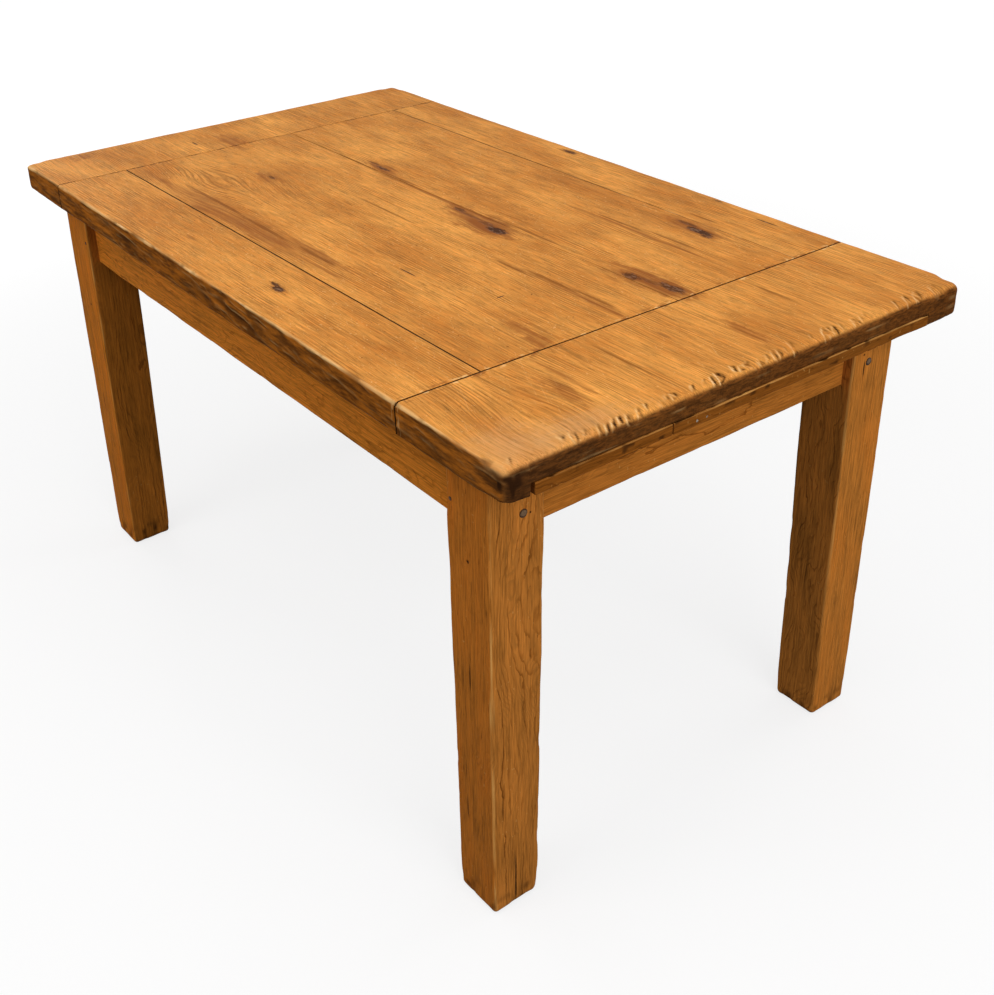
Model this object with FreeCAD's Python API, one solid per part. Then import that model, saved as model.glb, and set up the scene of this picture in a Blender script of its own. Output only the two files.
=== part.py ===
import FreeCAD, Part
import os

# A farmhouse table: four square legs, four rails and a thick boarded top.
# Millimetres, +Z up, origin on the floor under the middle of the top.
# +X points to the end with the let-in edge strip, -Y to the front long side.

# Overall size
TABLE_LENGTH = 1400.0
TABLE_WIDTH = 810.0
TABLE_HEIGHT = 765.0

# Top: four lengthwise boards between two end boards
TOP_THICKNESS = 45.0
FRONT_BOARD_WIDTH = 129.0
WIDE_MIDDLE_BOARD_WIDTH = 339.0
BACK_BOARD_WIDTH = 104.0
LEFT_END_BOARD_WIDTH = 155.0
RIGHT_END_BOARD_WIDTH = 208.0
TOP_CORNER_RADIUS = 16.0
TOP_UPPER_EDGE_RADIUS = 9.0
TOP_LOWER_EDGE_RADIUS = 4.0

# Tongues on the ends of the lengthwise boards, housed in the end boards
END_TONGUE_THICKNESS = 15.0
END_TONGUE_LENGTH = 22.0
END_TONGUE_SET_IN = 30.0
END_GROOVE_CLEARANCE = 1.0

# Loose tongues that line up the lengthwise boards edge to edge
LOOSE_TONGUE_THICKNESS = 10.0
LOOSE_TONGUE_WIDTH = 26.0
LOOSE_TONGUE_STOP = 40.0
LOOSE_GROOVE_CLEARANCE = 0.5

# Pegs driven up from below through the end tongues, one for each lengthwise board
END_BOARD_PEG_DIAMETER = 10.0
END_BOARD_PEG_PAST_TONGUE = 6.0

# Strip in two lengths, let into the lower edge of the right end
STRIP_HEIGHT = 17.0
STRIP_DEPTH = 14.0
STRIP_FRONT_INSET = 38.0
STRIP_BACK_INSET = 70.0
STRIP_END_GAP = 5.0
STRIP_NEAR_LENGTH = 212.0

# Nails that hold the longer strip
NAIL_HEAD_DIAMETER = 4.0
NAIL_HEAD_THICKNESS = 1.0
NAIL_SHANK_DIAMETER = 2.2
NAIL_LENGTH = 34.0
NAIL_FROM_STRIP_END = 39.0
NAIL_SPACING = 17.0
NAIL_COUNT = 2
NAIL_HEIGHT = 7.0
NAIL_CLEARANCE = 0.1

# Legs, square above and tapered on the two inner faces below the rails
LEG_SECTION = 86.0
LEG_FOOT_SECTION = 78.0
LEG_ARRIS_RADIUS = 4.0
FOOT_BEVEL = 5.0
LEG_END_INSET = 74.0
LEG_SIDE_INSET = 35.0

# Rails, tenoned into the legs
RAIL_HEIGHT = 112.0
RAIL_THICKNESS = 26.0
RAIL_SETBACK = 17.0
RAIL_EDGE_RADIUS = 3.0
TENON_THICKNESS = 12.0
TENON_TOP_SHOULDER = 22.0
TENON_BOTTOM_SHOULDER = 10.0
TENON_MEETING_GAP = 3.0
MORTISE_END_CLEARANCE = 1.0

# Wooden pegs through the end rails' tenons, slim pins through the long rails'
PEG_DIAMETER = 12.0
PEG_FROM_SHOULDER = 34.0
PEG_ABOVE_RAIL_BOTTOM = 35.0
PIN_DIAMETER = 6.0
PIN_FROM_SHOULDER = 10.0
PIN_ABOVE_RAIL_BOTTOM = 39.0
PEG_PAST_TENON = 10.0
PEG_CLEARANCE = 0.1

# Wooden buttons that hold the top down on the rails
BUTTON_LENGTH = 36.0
BUTTON_WIDTH = 38.0
BUTTON_HEIGHT = 26.0
BUTTON_BEVEL = 6.0
BUTTON_LIP_THICKNESS = 9.0
BUTTON_LIP_REACH = 8.0
BUTTON_GAP = 2.0
BUTTON_GROOVE_DROP = 12.0
BUTTON_GROOVE_DEPTH = 10.0
BUTTON_GROOVE_CLEARANCE = 1.0
LONG_BUTTON_SHARES = (-0.34, 0.0, 0.34)
END_BUTTON_SHARES = (-0.25, 0.25)

# Slotted countersunk screws through the buttons into the top
SCREW_LENGTH = 38.0
SCREW_HEAD_DIAMETER = 9.0
SCREW_HEAD_HEIGHT = 3.0
SCREW_SHANK_DIAMETER = 4.5
SCREW_POINT_LENGTH = 5.0
SCREW_SLOT_WIDTH = 1.2
SCREW_SLOT_DEPTH = 1.2
SCREW_CLEARANCE = 0.1

# How far a cutting block runs past the face that it opens
CUT_OVERRUN = 5.0
# Nearness at which an edge counts as lying at a height
EDGE_TOLERANCE = 0.01

# Places that follow from the sizes above
UP = FreeCAD.Vector(0, 0, 1)
INWARD = FreeCAD.Vector(0, 1, 0)
END_X = TABLE_LENGTH / 2
SIDE_Y = TABLE_WIDTH / 2
TOP_UNDERSIDE = TABLE_HEIGHT - TOP_THICKNESS
TOP_MIDDLE = TABLE_HEIGHT - TOP_THICKNESS / 2
LEFT_JOINT_X = LEFT_END_BOARD_WIDTH - END_X
RIGHT_JOINT_X = END_X - RIGHT_END_BOARD_WIDTH
FRONT_JOINT_Y = FRONT_BOARD_WIDTH - SIDE_Y
MIDDLE_JOINT_Y = FRONT_JOINT_Y + WIDE_MIDDLE_BOARD_WIDTH
BACK_JOINT_Y = SIDE_Y - BACK_BOARD_WIDTH
END_TONGUE_Y = SIDE_Y - END_TONGUE_SET_IN
END_TONGUE_BOTTOM = TOP_MIDDLE - END_TONGUE_THICKNESS / 2
END_TONGUE_TOP = TOP_MIDDLE + END_TONGUE_THICKNESS / 2
STRIP_TOP = TOP_UNDERSIDE + STRIP_HEIGHT
STRIP_BACK_X = END_X - STRIP_DEPTH
STRIP_FRONT_Y = STRIP_FRONT_INSET - SIDE_Y
STRIP_BACK_Y = SIDE_Y - STRIP_BACK_INSET
STRIP_NEAR_Y = STRIP_FRONT_Y + STRIP_END_GAP
STRIP_SPLIT_Y = STRIP_NEAR_Y + STRIP_NEAR_LENGTH
LEG_FACE_X = END_X - LEG_END_INSET
LEG_FACE_Y = SIDE_Y - LEG_SIDE_INSET
LONG_RAIL_HALF = LEG_FACE_X - LEG_SECTION
END_RAIL_HALF = LEG_FACE_Y - LEG_SECTION
RAIL_MIDDLE_DEPTH = RAIL_SETBACK + RAIL_THICKNESS / 2
LONG_RAIL_Y = LEG_FACE_Y - RAIL_MIDDLE_DEPTH
END_RAIL_X = LEG_FACE_X - RAIL_MIDDLE_DEPTH
RAIL_BOTTOM = TOP_UNDERSIDE - RAIL_HEIGHT
RAIL_INNER_FACE = RAIL_THICKNESS / 2
TENON_BOTTOM = RAIL_BOTTOM + TENON_BOTTOM_SHOULDER
TENON_TOP = TOP_UNDERSIDE - TENON_TOP_SHOULDER
TENON_LENGTH = LEG_SECTION - RAIL_MIDDLE_DEPTH - TENON_THICKNESS / 2 - TENON_MEETING_GAP
LIP_TOP = TOP_UNDERSIDE - BUTTON_GROOVE_DROP
LIP_BOTTOM = LIP_TOP - BUTTON_LIP_THICKNESS
BUTTON_BOTTOM = TOP_UNDERSIDE - BUTTON_HEIGHT
BUTTON_FRONT = RAIL_INNER_FACE + BUTTON_GAP
BUTTON_MIDDLE = BUTTON_FRONT + BUTTON_LENGTH / 2

# The four sides of the frame, each a quarter turn on from the one before
SIDES = ("front", "right", "back", "left")
LONG_SIDES = ("front", "back")
END_SIDES = ("right", "left")


def block(x0, x1, y0, y1, z0, z1):
    """A box between two opposite corners, given in any order."""
    (xa, xb), (ya, yb), (za, zb) = sorted((x0, x1)), sorted((y0, y1)), sorted((z0, z1))
    return Part.makeBox(xb - xa, yb - ya, zb - za, FreeCAD.Vector(xa, ya, za))


def rod(diameter, start, direction, length):
    """A round bar from a start point."""
    return Part.makeCylinder(diameter / 2, length, FreeCAD.Vector(*start), direction)


def edges_at_height(shape, z):
    """The edges of a shape that lie in the level plane at z."""
    return [e for e in shape.Edges if all(abs(v.Z - z) < EDGE_TOLERANCE for v in e.Vertexes)]


def rail_distance(side):
    """How far the middle of a side's rail stands from the middle of the table."""
    return LONG_RAIL_Y if side in LONG_SIDES else END_RAIL_X


def rail_half(side):
    """Half the length of a side's rail between the legs."""
    return LONG_RAIL_HALF if side in LONG_SIDES else END_RAIL_HALF


def place(shape, side):
    """Moves a shape drawn on the front rail's middle plane to its side of the frame."""
    placed = shape.copy()
    placed.translate(FreeCAD.Vector(0, -rail_distance(side), 0))
    placed.rotate(FreeCAD.Vector(0, 0, 0), UP, 90 * SIDES.index(side))
    return placed


def join(shapes):
    """One solid from touching shapes, with no seams left on its flat faces."""
    return shapes[0].multiFuse(shapes[1:]).removeSplitter()


def solid_of(shape):
    """The single solid that a cut leaves."""
    return shape.Solids[0]


def top_slab():
    """The whole top as one worn, round-edged slab, which is then divided into boards."""
    slab = block(-END_X, END_X, -SIDE_Y, SIDE_Y, TOP_UNDERSIDE, TABLE_HEIGHT)
    corners = [e for e in slab.Edges if e.BoundBox.ZLength > TOP_THICKNESS / 2]
    slab = slab.makeFillet(TOP_CORNER_RADIUS, corners)
    slab = slab.makeFillet(TOP_UPPER_EDGE_RADIUS, edges_at_height(slab, TABLE_HEIGHT))
    return slab.makeFillet(TOP_LOWER_EDGE_RADIUS, edges_at_height(slab, TOP_UNDERSIDE))


def board_edges():
    """Where the lengthwise boards begin and end across the top, from front to back."""
    return [-SIDE_Y, FRONT_JOINT_Y, MIDDLE_JOINT_Y, BACK_JOINT_Y, SIDE_Y]


def end_tongue(joint_x, outward, y0, y1):
    """Tongue on the end of one lengthwise board, stopped short of the long edges."""
    low = max(y0, -END_TONGUE_Y)
    high = min(y1, END_TONGUE_Y)
    tip_x = joint_x + outward * END_TONGUE_LENGTH
    return block(joint_x, tip_x, low, high, END_TONGUE_BOTTOM, END_TONGUE_TOP)


def end_groove(joint_x, outward):
    """Stopped groove in an end board that houses all the tongues of one end."""
    bottom_x = joint_x + outward * (END_TONGUE_LENGTH + END_GROOVE_CLEARANCE)
    mouth_x = joint_x - outward * CUT_OVERRUN
    reach = END_TONGUE_Y + END_GROOVE_CLEARANCE
    return block(mouth_x, bottom_x, -reach, reach, END_TONGUE_BOTTOM, END_TONGUE_TOP)


def loose_tongue(joint_y, clearance=0.0):
    """Flat slip of wood across an edge joint; with a clearance, the groove for it."""
    half_width = LOOSE_TONGUE_WIDTH / 2 + clearance
    left = LEFT_JOINT_X + LOOSE_TONGUE_STOP - clearance
    right = RIGHT_JOINT_X - LOOSE_TONGUE_STOP + clearance
    low = TOP_MIDDLE - LOOSE_TONGUE_THICKNESS / 2
    high = TOP_MIDDLE + LOOSE_TONGUE_THICKNESS / 2
    return block(left, right, joint_y - half_width, joint_y + half_width, low, high)


def end_board_pegs(joint_x, outward, clearance=0.0):
    """Pegs from the underside through the middle of each board's tongue at one end."""
    x = joint_x + outward * END_TONGUE_LENGTH / 2
    length = END_TONGUE_TOP + END_BOARD_PEG_PAST_TONGUE - TOP_UNDERSIDE
    edges = board_edges()
    places = [(x, (y0 + y1) / 2, TOP_UNDERSIDE) for y0, y1 in zip(edges[:-1], edges[1:])]
    return [rod(END_BOARD_PEG_DIAMETER + 2 * clearance, p, UP, length) for p in places]


def screw(x, y, clearance=0.0):
    """Countersunk screw standing on its head; with a clearance, the hole for it."""
    head_radius = SCREW_HEAD_DIAMETER / 2 + clearance
    shank_radius = SCREW_SHANK_DIAMETER / 2 + clearance
    base = FreeCAD.Vector(x, y, BUTTON_BOTTOM)
    shank_end = SCREW_LENGTH - SCREW_POINT_LENGTH
    head = Part.makeCone(head_radius, shank_radius, SCREW_HEAD_HEIGHT, base, UP)
    shank = Part.makeCylinder(shank_radius, shank_end, base, UP)
    point = Part.makeCone(shank_radius, 0, SCREW_POINT_LENGTH, base + UP * shank_end, UP)
    return join([head, shank, point])


def slotted(shape, x, y):
    """Cuts the driver slot across a screw's head."""
    reach = SCREW_HEAD_DIAMETER
    half = SCREW_SLOT_WIDTH / 2
    slot_top = BUTTON_BOTTOM + SCREW_SLOT_DEPTH
    slot = block(x - reach, x + reach, y - half, y + half, BUTTON_BOTTOM - CUT_OVERRUN, slot_top)
    return solid_of(shape.cut(slot))


def button_places(side):
    """Middles of the buttons along one rail."""
    shares = LONG_BUTTON_SHARES if side in LONG_SIDES else END_BUTTON_SHARES
    return [share * rail_half(side) * 2 for share in shares]


def button(x):
    """Block with a lip: screwed up to the top, with its lip in the rail's groove."""
    left = x - BUTTON_WIDTH / 2
    right = x + BUTTON_WIDTH / 2
    back = BUTTON_FRONT + BUTTON_LENGTH
    body = block(left, right, BUTTON_FRONT, back, BUTTON_BOTTOM, TOP_UNDERSIDE)
    back_edge = [e for e in edges_at_height(body, BUTTON_BOTTOM)
                 if all(abs(v.Y - back) < EDGE_TOLERANCE for v in e.Vertexes)]
    body = body.makeChamfer(BUTTON_BEVEL, back_edge)
    lip_tip = RAIL_INNER_FACE - BUTTON_LIP_REACH
    lip = block(left, right, lip_tip, BUTTON_FRONT, LIP_BOTTOM, LIP_TOP)
    hole = screw(x, BUTTON_MIDDLE, SCREW_CLEARANCE)
    return solid_of(join([body, lip]).cut(hole))


def tenon(half, end, clearance=0.0, overrun=0.0):
    """Tenon on one end of a rail; with a clearance and overrun, the mortise for it."""
    root_x = end * (half - overrun)
    tip_x = end * (half + TENON_LENGTH + clearance)
    cheek = TENON_THICKNESS / 2
    return block(root_x, tip_x, -cheek, cheek, TENON_BOTTOM, TENON_TOP)


def joint_pegs(side, clearance=0.0):
    """The two pegs of one rail, driven in from the legs' outer faces."""
    half = rail_half(side)
    if side in LONG_SIDES:
        diameter, reach, height = PIN_DIAMETER, PIN_FROM_SHOULDER, PIN_ABOVE_RAIL_BOTTOM
    else:
        diameter, reach, height = PEG_DIAMETER, PEG_FROM_SHOULDER, PEG_ABOVE_RAIL_BOTTOM
    length = RAIL_MIDDLE_DEPTH + TENON_THICKNESS / 2 + PEG_PAST_TENON
    pegs = []
    for end in (-1, 1):
        start = (end * (half + reach), -RAIL_MIDDLE_DEPTH, RAIL_BOTTOM + height)
        pegs.append(rod(diameter + 2 * clearance, start, INWARD, length))
    return pegs


def rail(side):
    """Rail with its two tenons, the groove for the buttons and its peg holes."""
    half = rail_half(side)
    face = RAIL_THICKNESS / 2
    body = block(-half, half, -face, face, RAIL_BOTTOM, TOP_UNDERSIDE)
    lower = [e for e in edges_at_height(body, RAIL_BOTTOM) if e.BoundBox.XLength > half]
    body = body.makeFillet(RAIL_EDGE_RADIUS, lower)
    body = join([body, tenon(half, -1), tenon(half, 1)])
    groove_bottom = LIP_BOTTOM - BUTTON_GROOVE_CLEARANCE
    groove_back = face - BUTTON_GROOVE_DEPTH
    groove = block(-half, half, groove_back, face + CUT_OVERRUN, groove_bottom, LIP_TOP)
    return solid_of(body.cut([groove] + joint_pegs(side, PEG_CLEARANCE)))


def rounded_square(corner_x, corner_y, section, inset, z):
    """Level outline of a leg with round arrises, measured inwards from its outer corner."""
    xs = sorted((corner_x - inset * sign(corner_x), corner_x - (section - inset) * sign(corner_x)))
    ys = sorted((corner_y - inset * sign(corner_y), corner_y - (section - inset) * sign(corner_y)))
    radius = LEG_ARRIS_RADIUS
    centres = [(xs[0] + radius, ys[0] + radius), (xs[1] - radius, ys[0] + radius),
               (xs[1] - radius, ys[1] - radius), (xs[0] + radius, ys[1] - radius)]
    arcs = [Part.makeCircle(radius, FreeCAD.Vector(x, y, z), UP, 180 + 90 * i, 270 + 90 * i)
            for i, (x, y) in enumerate(centres)]
    edges = []
    for arc, following in zip(arcs, arcs[1:] + arcs[:1]):
        edges.append(arc)
        edges.append(Part.makeLine(arc.Vertexes[-1].Point, following.Vertexes[0].Point))
    return Part.Wire(edges)


def sign(value):
    """Which side of the middle a value lies on."""
    return 1 if value > 0 else -1


def leg(side_x, side_y, cuts):
    """Leg: bevelled foot, tapered lower part, square head with mortises and peg holes."""
    x = side_x * LEG_FACE_X
    y = side_y * LEG_FACE_Y
    levels = [
        (LEG_FOOT_SECTION, FOOT_BEVEL, 0),
        (LEG_FOOT_SECTION, 0, FOOT_BEVEL),
        (LEG_SECTION, 0, RAIL_BOTTOM),
        (LEG_SECTION, 0, TOP_UNDERSIDE),
    ]
    outlines = [rounded_square(x, y, section, inset, z) for section, inset, z in levels]
    return solid_of(Part.makeLoft(outlines, True, True).cut(cuts))


def strip_block(y0, y1, overrun=0.0):
    """Space of the let-in edge strip between two places along the right end."""
    low = TOP_UNDERSIDE - overrun
    return block(STRIP_BACK_X, END_X + overrun, y0, y1, low, STRIP_TOP)


def strip_nails(clearance=0.0):
    """Flat-headed nails through the longer strip into the end board."""
    nails = []
    for i in range(NAIL_COUNT):
        y = STRIP_SPLIT_Y + NAIL_FROM_STRIP_END + i * NAIL_SPACING
        start = (END_X, y, TOP_UNDERSIDE + NAIL_HEIGHT)
        inwards = FreeCAD.Vector(-1, 0, 0)
        head = rod(NAIL_HEAD_DIAMETER + 2 * clearance, start, inwards, NAIL_HEAD_THICKNESS)
        shank = rod(NAIL_SHANK_DIAMETER + 2 * clearance, start, inwards, NAIL_LENGTH)
        nails.append(join([head, shank]))
    return nails


def lengthwise_boards(slab, holes):
    """The four long boards, each with its end tongues and edge grooves."""
    edges = board_edges()
    names = ["front", "middle_wide", "middle_narrow", "back"]
    grooves = [loose_tongue(y, LOOSE_GROOVE_CLEARANCE) for y in edges[1:-1]]
    boards = {}
    for name, y0, y1 in zip(names, edges[:-1], edges[1:]):
        space = block(LEFT_JOINT_X, RIGHT_JOINT_X, y0, y1, TOP_UNDERSIDE, TABLE_HEIGHT)
        body = join([slab.common(space), end_tongue(LEFT_JOINT_X, -1, y0, y1),
                     end_tongue(RIGHT_JOINT_X, 1, y0, y1)])
        boards["top_board_" + name] = solid_of(body.cut(grooves + holes))
    return boards


def end_boards(slab, holes):
    """The two boards across the ends, the right one rebated for the edge strip."""
    left = slab.common(block(-END_X, LEFT_JOINT_X, -SIDE_Y, SIDE_Y, TOP_UNDERSIDE, TABLE_HEIGHT))
    right = slab.common(block(RIGHT_JOINT_X, END_X, -SIDE_Y, SIDE_Y, TOP_UNDERSIDE, TABLE_HEIGHT))
    rebate = strip_block(STRIP_FRONT_Y, STRIP_BACK_Y, CUT_OVERRUN)
    left_cuts = [end_groove(LEFT_JOINT_X, -1)] + holes
    right_cuts = [end_groove(RIGHT_JOINT_X, 1), rebate] + strip_nails(NAIL_CLEARANCE) + holes
    return {
        "end_board_left": solid_of(left.cut(left_cuts)),
        "end_board_right": solid_of(right.cut(right_cuts)),
    }


def edge_strips(slab):
    """The two lengths of strip, shaped by the worn edge of the slab."""
    near = slab.common(strip_block(STRIP_NEAR_Y, STRIP_SPLIT_Y))
    far = slab.common(strip_block(STRIP_SPLIT_Y, STRIP_BACK_Y))
    return {
        "edge_strip_near": solid_of(near),
        "edge_strip_far": solid_of(far.cut(strip_nails(NAIL_CLEARANCE))),
    }


def top_fixings():
    """The buttons, one node each, with all their screws, and the holes for the screws."""
    buttons = {}
    screws = []
    holes = []
    for side in SIDES:
        for number, x in enumerate(button_places(side), 1):
            buttons["top_button_%s_%d" % (side, number)] = place(button(x), side)
            screws.append(place(slotted(screw(x, BUTTON_MIDDLE), x, BUTTON_MIDDLE), side))
            holes.append(place(screw(x, BUTTON_MIDDLE, SCREW_CLEARANCE), side))
    return buttons, screws, holes


def leg_cuts():
    """All the mortises and peg holes of the frame, for the legs to be cut by."""
    cuts = []
    for side in SIDES:
        for end in (-1, 1):
            mortise = tenon(rail_half(side), end, MORTISE_END_CLEARANCE, CUT_OVERRUN)
            cuts.append(place(mortise, side))
        cuts.extend(place(peg, side) for peg in joint_pegs(side, PEG_CLEARANCE))
    return cuts


def frame_nodes():
    """Legs, rails and the pegs of their joints."""
    cuts = leg_cuts()
    nodes = {}
    for side_y, depth in ((-1, "front"), (1, "back")):
        for side_x, hand in ((-1, "left"), (1, "right")):
            nodes["leg_%s_%s" % (depth, hand)] = leg(side_x, side_y, cuts)
    for side in SIDES:
        nodes["rail_" + side] = place(rail(side), side)
    for name, sides in (("long_rail_pins", LONG_SIDES), ("end_rail_pegs", END_SIDES)):
        pegs = [place(peg, side) for side in sides for peg in joint_pegs(side)]
        nodes[name] = Part.makeCompound(pegs)
    return nodes


def top_nodes():
    """Boards, tongues, pegs, edge strips and fixings of the top."""
    slab = top_slab()
    buttons, screws, holes = top_fixings()
    for joint_x, outward in ((LEFT_JOINT_X, -1), (RIGHT_JOINT_X, 1)):
        holes.extend(end_board_pegs(joint_x, outward, PEG_CLEARANCE))
    nodes = lengthwise_boards(slab, holes)
    nodes.update(end_boards(slab, holes))
    for name, y in (("front", FRONT_JOINT_Y), ("middle", MIDDLE_JOINT_Y), ("back", BACK_JOINT_Y)):
        nodes["loose_tongue_%s_joint" % name] = loose_tongue(y)
    nodes["end_board_pegs_left"] = Part.makeCompound(end_board_pegs(LEFT_JOINT_X, -1))
    nodes["end_board_pegs_right"] = Part.makeCompound(end_board_pegs(RIGHT_JOINT_X, 1))
    nodes.update(edge_strips(slab))
    nodes["edge_strip_nails"] = Part.makeCompound(strip_nails())
    nodes.update(buttons)
    nodes["top_button_screws"] = Part.makeCompound(screws)
    return nodes


def main():
    os.makedirs("parts", exist_ok=True)
    nodes = top_nodes()
    nodes.update(frame_nodes())
    for name, shape in nodes.items():
        shape.exportStep(os.path.join("parts", name + ".step"))
        print(name, len(shape.Solids), round(shape.Volume), shape.isValid())


main()
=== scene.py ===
# %% [markdown]
# # An old farmhouse table
# The table is a thick boarded top on four square legs, joined by four rails. It has been
# waxed, knocked and scrubbed for generations, so hardly an edge on it is straight.
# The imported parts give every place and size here; each cell dresses one kind of piece.

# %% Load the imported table
import math

import bpy
import numpy as np
from mathutils import Matrix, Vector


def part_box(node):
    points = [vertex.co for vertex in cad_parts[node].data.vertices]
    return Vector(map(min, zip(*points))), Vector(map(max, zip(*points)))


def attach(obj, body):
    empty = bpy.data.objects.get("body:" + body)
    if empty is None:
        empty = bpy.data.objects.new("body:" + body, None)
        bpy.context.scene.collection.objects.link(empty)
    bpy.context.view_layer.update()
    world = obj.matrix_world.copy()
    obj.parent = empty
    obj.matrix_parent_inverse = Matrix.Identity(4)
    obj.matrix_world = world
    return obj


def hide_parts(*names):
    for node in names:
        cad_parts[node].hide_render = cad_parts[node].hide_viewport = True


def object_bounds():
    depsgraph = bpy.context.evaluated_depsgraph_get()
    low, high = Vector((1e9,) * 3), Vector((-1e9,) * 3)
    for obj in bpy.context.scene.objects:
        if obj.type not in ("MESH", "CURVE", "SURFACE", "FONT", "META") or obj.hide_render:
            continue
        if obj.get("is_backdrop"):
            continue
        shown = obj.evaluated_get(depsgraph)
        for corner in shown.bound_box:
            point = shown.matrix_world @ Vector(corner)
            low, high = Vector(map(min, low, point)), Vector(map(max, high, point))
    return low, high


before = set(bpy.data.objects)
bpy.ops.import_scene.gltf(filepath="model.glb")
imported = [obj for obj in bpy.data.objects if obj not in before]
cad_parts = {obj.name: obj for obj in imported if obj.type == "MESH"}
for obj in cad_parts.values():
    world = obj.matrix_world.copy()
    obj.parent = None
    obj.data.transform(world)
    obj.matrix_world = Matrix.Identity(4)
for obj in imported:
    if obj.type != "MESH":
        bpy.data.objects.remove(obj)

cad_low, cad_high = (list(corner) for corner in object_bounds())
print("packed table:", [round(v, 3) for v in cad_low], "to", [round(v, 3) for v in cad_high])

# %% [markdown]
# ## Noise for wear
# Wear is uneven, so every worn shape below needs a smooth random number at each place.
# A sculpting brush could give it, but it would not come out the same twice. Here a lattice
# of fixed numbers is blended instead: the same place and seed always give the same wear.


# %% Smooth noise and easing
def corner_value(cell, seed):
    """A fixed number from -1 to 1 for each whole-number lattice corner, by mixing its bits."""
    mixed = cell[..., 0] * 374761393 + cell[..., 1] * 668265263 + cell[..., 2] * 1440662683
    mixed = mixed + seed * 974634777
    mixed = (mixed ^ (mixed >> 13)) * 1274126177
    mixed = mixed ^ (mixed >> 16)
    return (mixed & 0xFFFFFF) / 0x7FFFFF - 1.0


def smooth_noise(points, size, seed):
    """Noise from -1 to 1: each point blends the eight corners of its lattice cell, eased
    with 3t^2 - 2t^3. size is the length of a cell along x, y and z."""
    scaled = points / np.asarray(size)
    cell = np.floor(scaled).astype(np.int64)
    t = scaled - cell
    t = t * t * (3 - 2 * t)
    total = np.zeros(len(points))
    for corner in np.ndindex(2, 2, 2):
        weight = np.prod(np.where(corner, t, 1 - t), axis=-1)
        total += weight * corner_value(cell + np.array(corner), seed)
    return total


def ease(value, start, end):
    """0 before start, 1 after end, and a smooth rise between them."""
    t = np.clip((value - start) / (end - start), 0, 1)
    return t * t * (3 - 2 * t)


trial = smooth_noise(np.linspace(0, 1, 3000).reshape(-1, 3), (0.05, 0.05, 0.05), 1)
print("noise runs from", trial.min().round(2), "to", trial.max().round(2))

# %% [markdown]
# ## A board as a closed grid
# Every timber here starts as a sawn block. A cube with a bevel would give one even radius,
# but old arrises are rounder in some places than in others. So a block is made of six grids
# that share their borders, and each grid point is then pulled onto a core box plus a radius
# of its own.

# %% Grids
wall_lip = 0.0002


def grid_lines(low, high, step, ends):
    """Places from low to high, a step apart; near each end they crowd as (reach, fine step)."""
    (reach_a, fine_a), (reach_b, fine_b) = ends
    first = np.linspace(low, low + reach_a, round(reach_a / fine_a) + 1)
    last = np.linspace(high - reach_b, high, round(reach_b / fine_b) + 1)
    count = max(1, round((high - reach_b - low - reach_a) / step))
    middle = np.linspace(low + reach_a, high - reach_b, count + 1)
    return np.concatenate([first, middle[1:-1], last])


def block_grid(lines):
    """Corners and quads of a closed block: each face is the grid of two of the three line
    sets, wound outwards, and corners that two faces share are made one."""
    counts = [len(places) for places in lines]
    ring = np.array([(0, 0), (1, 0), (1, 1), (0, 1)])
    quads = []
    for axis in range(3):
        u, v = (axis + 1) % 3, (axis + 2) % 3
        start = np.stack(np.meshgrid(np.arange(counts[u] - 1), np.arange(counts[v] - 1)), -1)
        start = start.reshape(-1, 1, 2)
        for side, turn in ((0, ring[::-1]), (counts[axis] - 1, ring)):
            quad = np.full((len(start), 4, 3), side)
            quad[..., [u, v]] = start + turn
            quads.append(quad)
    keys = np.ravel_multi_index(tuple(np.concatenate(quads).reshape(-1, 3).T), counts)
    used, faces = np.unique(keys, return_inverse=True)
    index = np.unravel_index(used, counts)
    points = np.stack([np.asarray(lines[axis])[index[axis]] for axis in range(3)], -1)
    return points, faces.reshape(-1, 4)


def wall_lines(lines, walls):
    """Grid lines with a close pair added at each wall of a rebate or groove."""
    return np.sort(np.append(lines, [wall + side * wall_lip for wall in walls for side in (-1, 1)]))


print("a wall is two grid lines", round(2000 * wall_lip, 1), "mm apart")

# %% [markdown]
# ## From points to pieces
# A bevel modifier would round an arris by one radius; here every point has radii of its own.
# The finished points become a mesh that rides on the table's body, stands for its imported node
# and carries marks of wear, which the finishes read later.


# %% Round arrises and meshes
def even_radii(radius):
    """One radius a point, the same along x, y and z."""
    return np.repeat(radius[:, None], 3, axis=1)


def round_arrises(points, low, high, radii):
    """Core box plus radii: the nearest point of the core, then the radii along the way out.
    Gives the moved points and the way each one faces."""
    core = np.clip(points, low + radii, high - radii)
    out = (points - core) / radii
    out /= np.linalg.norm(out, axis=-1, keepdims=True)
    facing = out / radii
    facing /= np.linalg.norm(facing, axis=-1, keepdims=True)
    return core + out * radii, facing


def make_piece(name, node, points, faces, marks):
    """A mesh object on the table's body that stands for a node; marks are worn-surface values."""
    mesh = bpy.data.meshes.new(name)
    mesh.vertices.add(len(points))
    mesh.vertices.foreach_set("co", points.astype(np.float32).ravel())
    mesh.loops.add(faces.size)
    mesh.loops.foreach_set("vertex_index", faces.astype(np.int32).ravel())
    mesh.polygons.add(len(faces))
    mesh.polygons.foreach_set("loop_start", np.arange(0, faces.size, 4, dtype=np.int32))
    mesh.polygons.foreach_set("use_smooth", np.ones(len(faces), bool))
    mesh.update(calc_edges=True)
    for mark, values in marks.items():
        layer = mesh.attributes.new(mark, "FLOAT", "POINT")
        layer.data.foreach_set("value", values.astype(np.float32))
    piece = bpy.data.objects.new(name, mesh)
    bpy.context.scene.collection.objects.link(piece)
    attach(piece, "root")
    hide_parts(node)
    return piece


def node_box(node):
    """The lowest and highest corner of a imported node, as arrays."""
    low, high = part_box(node)
    return np.array(low), np.array(high)


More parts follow.
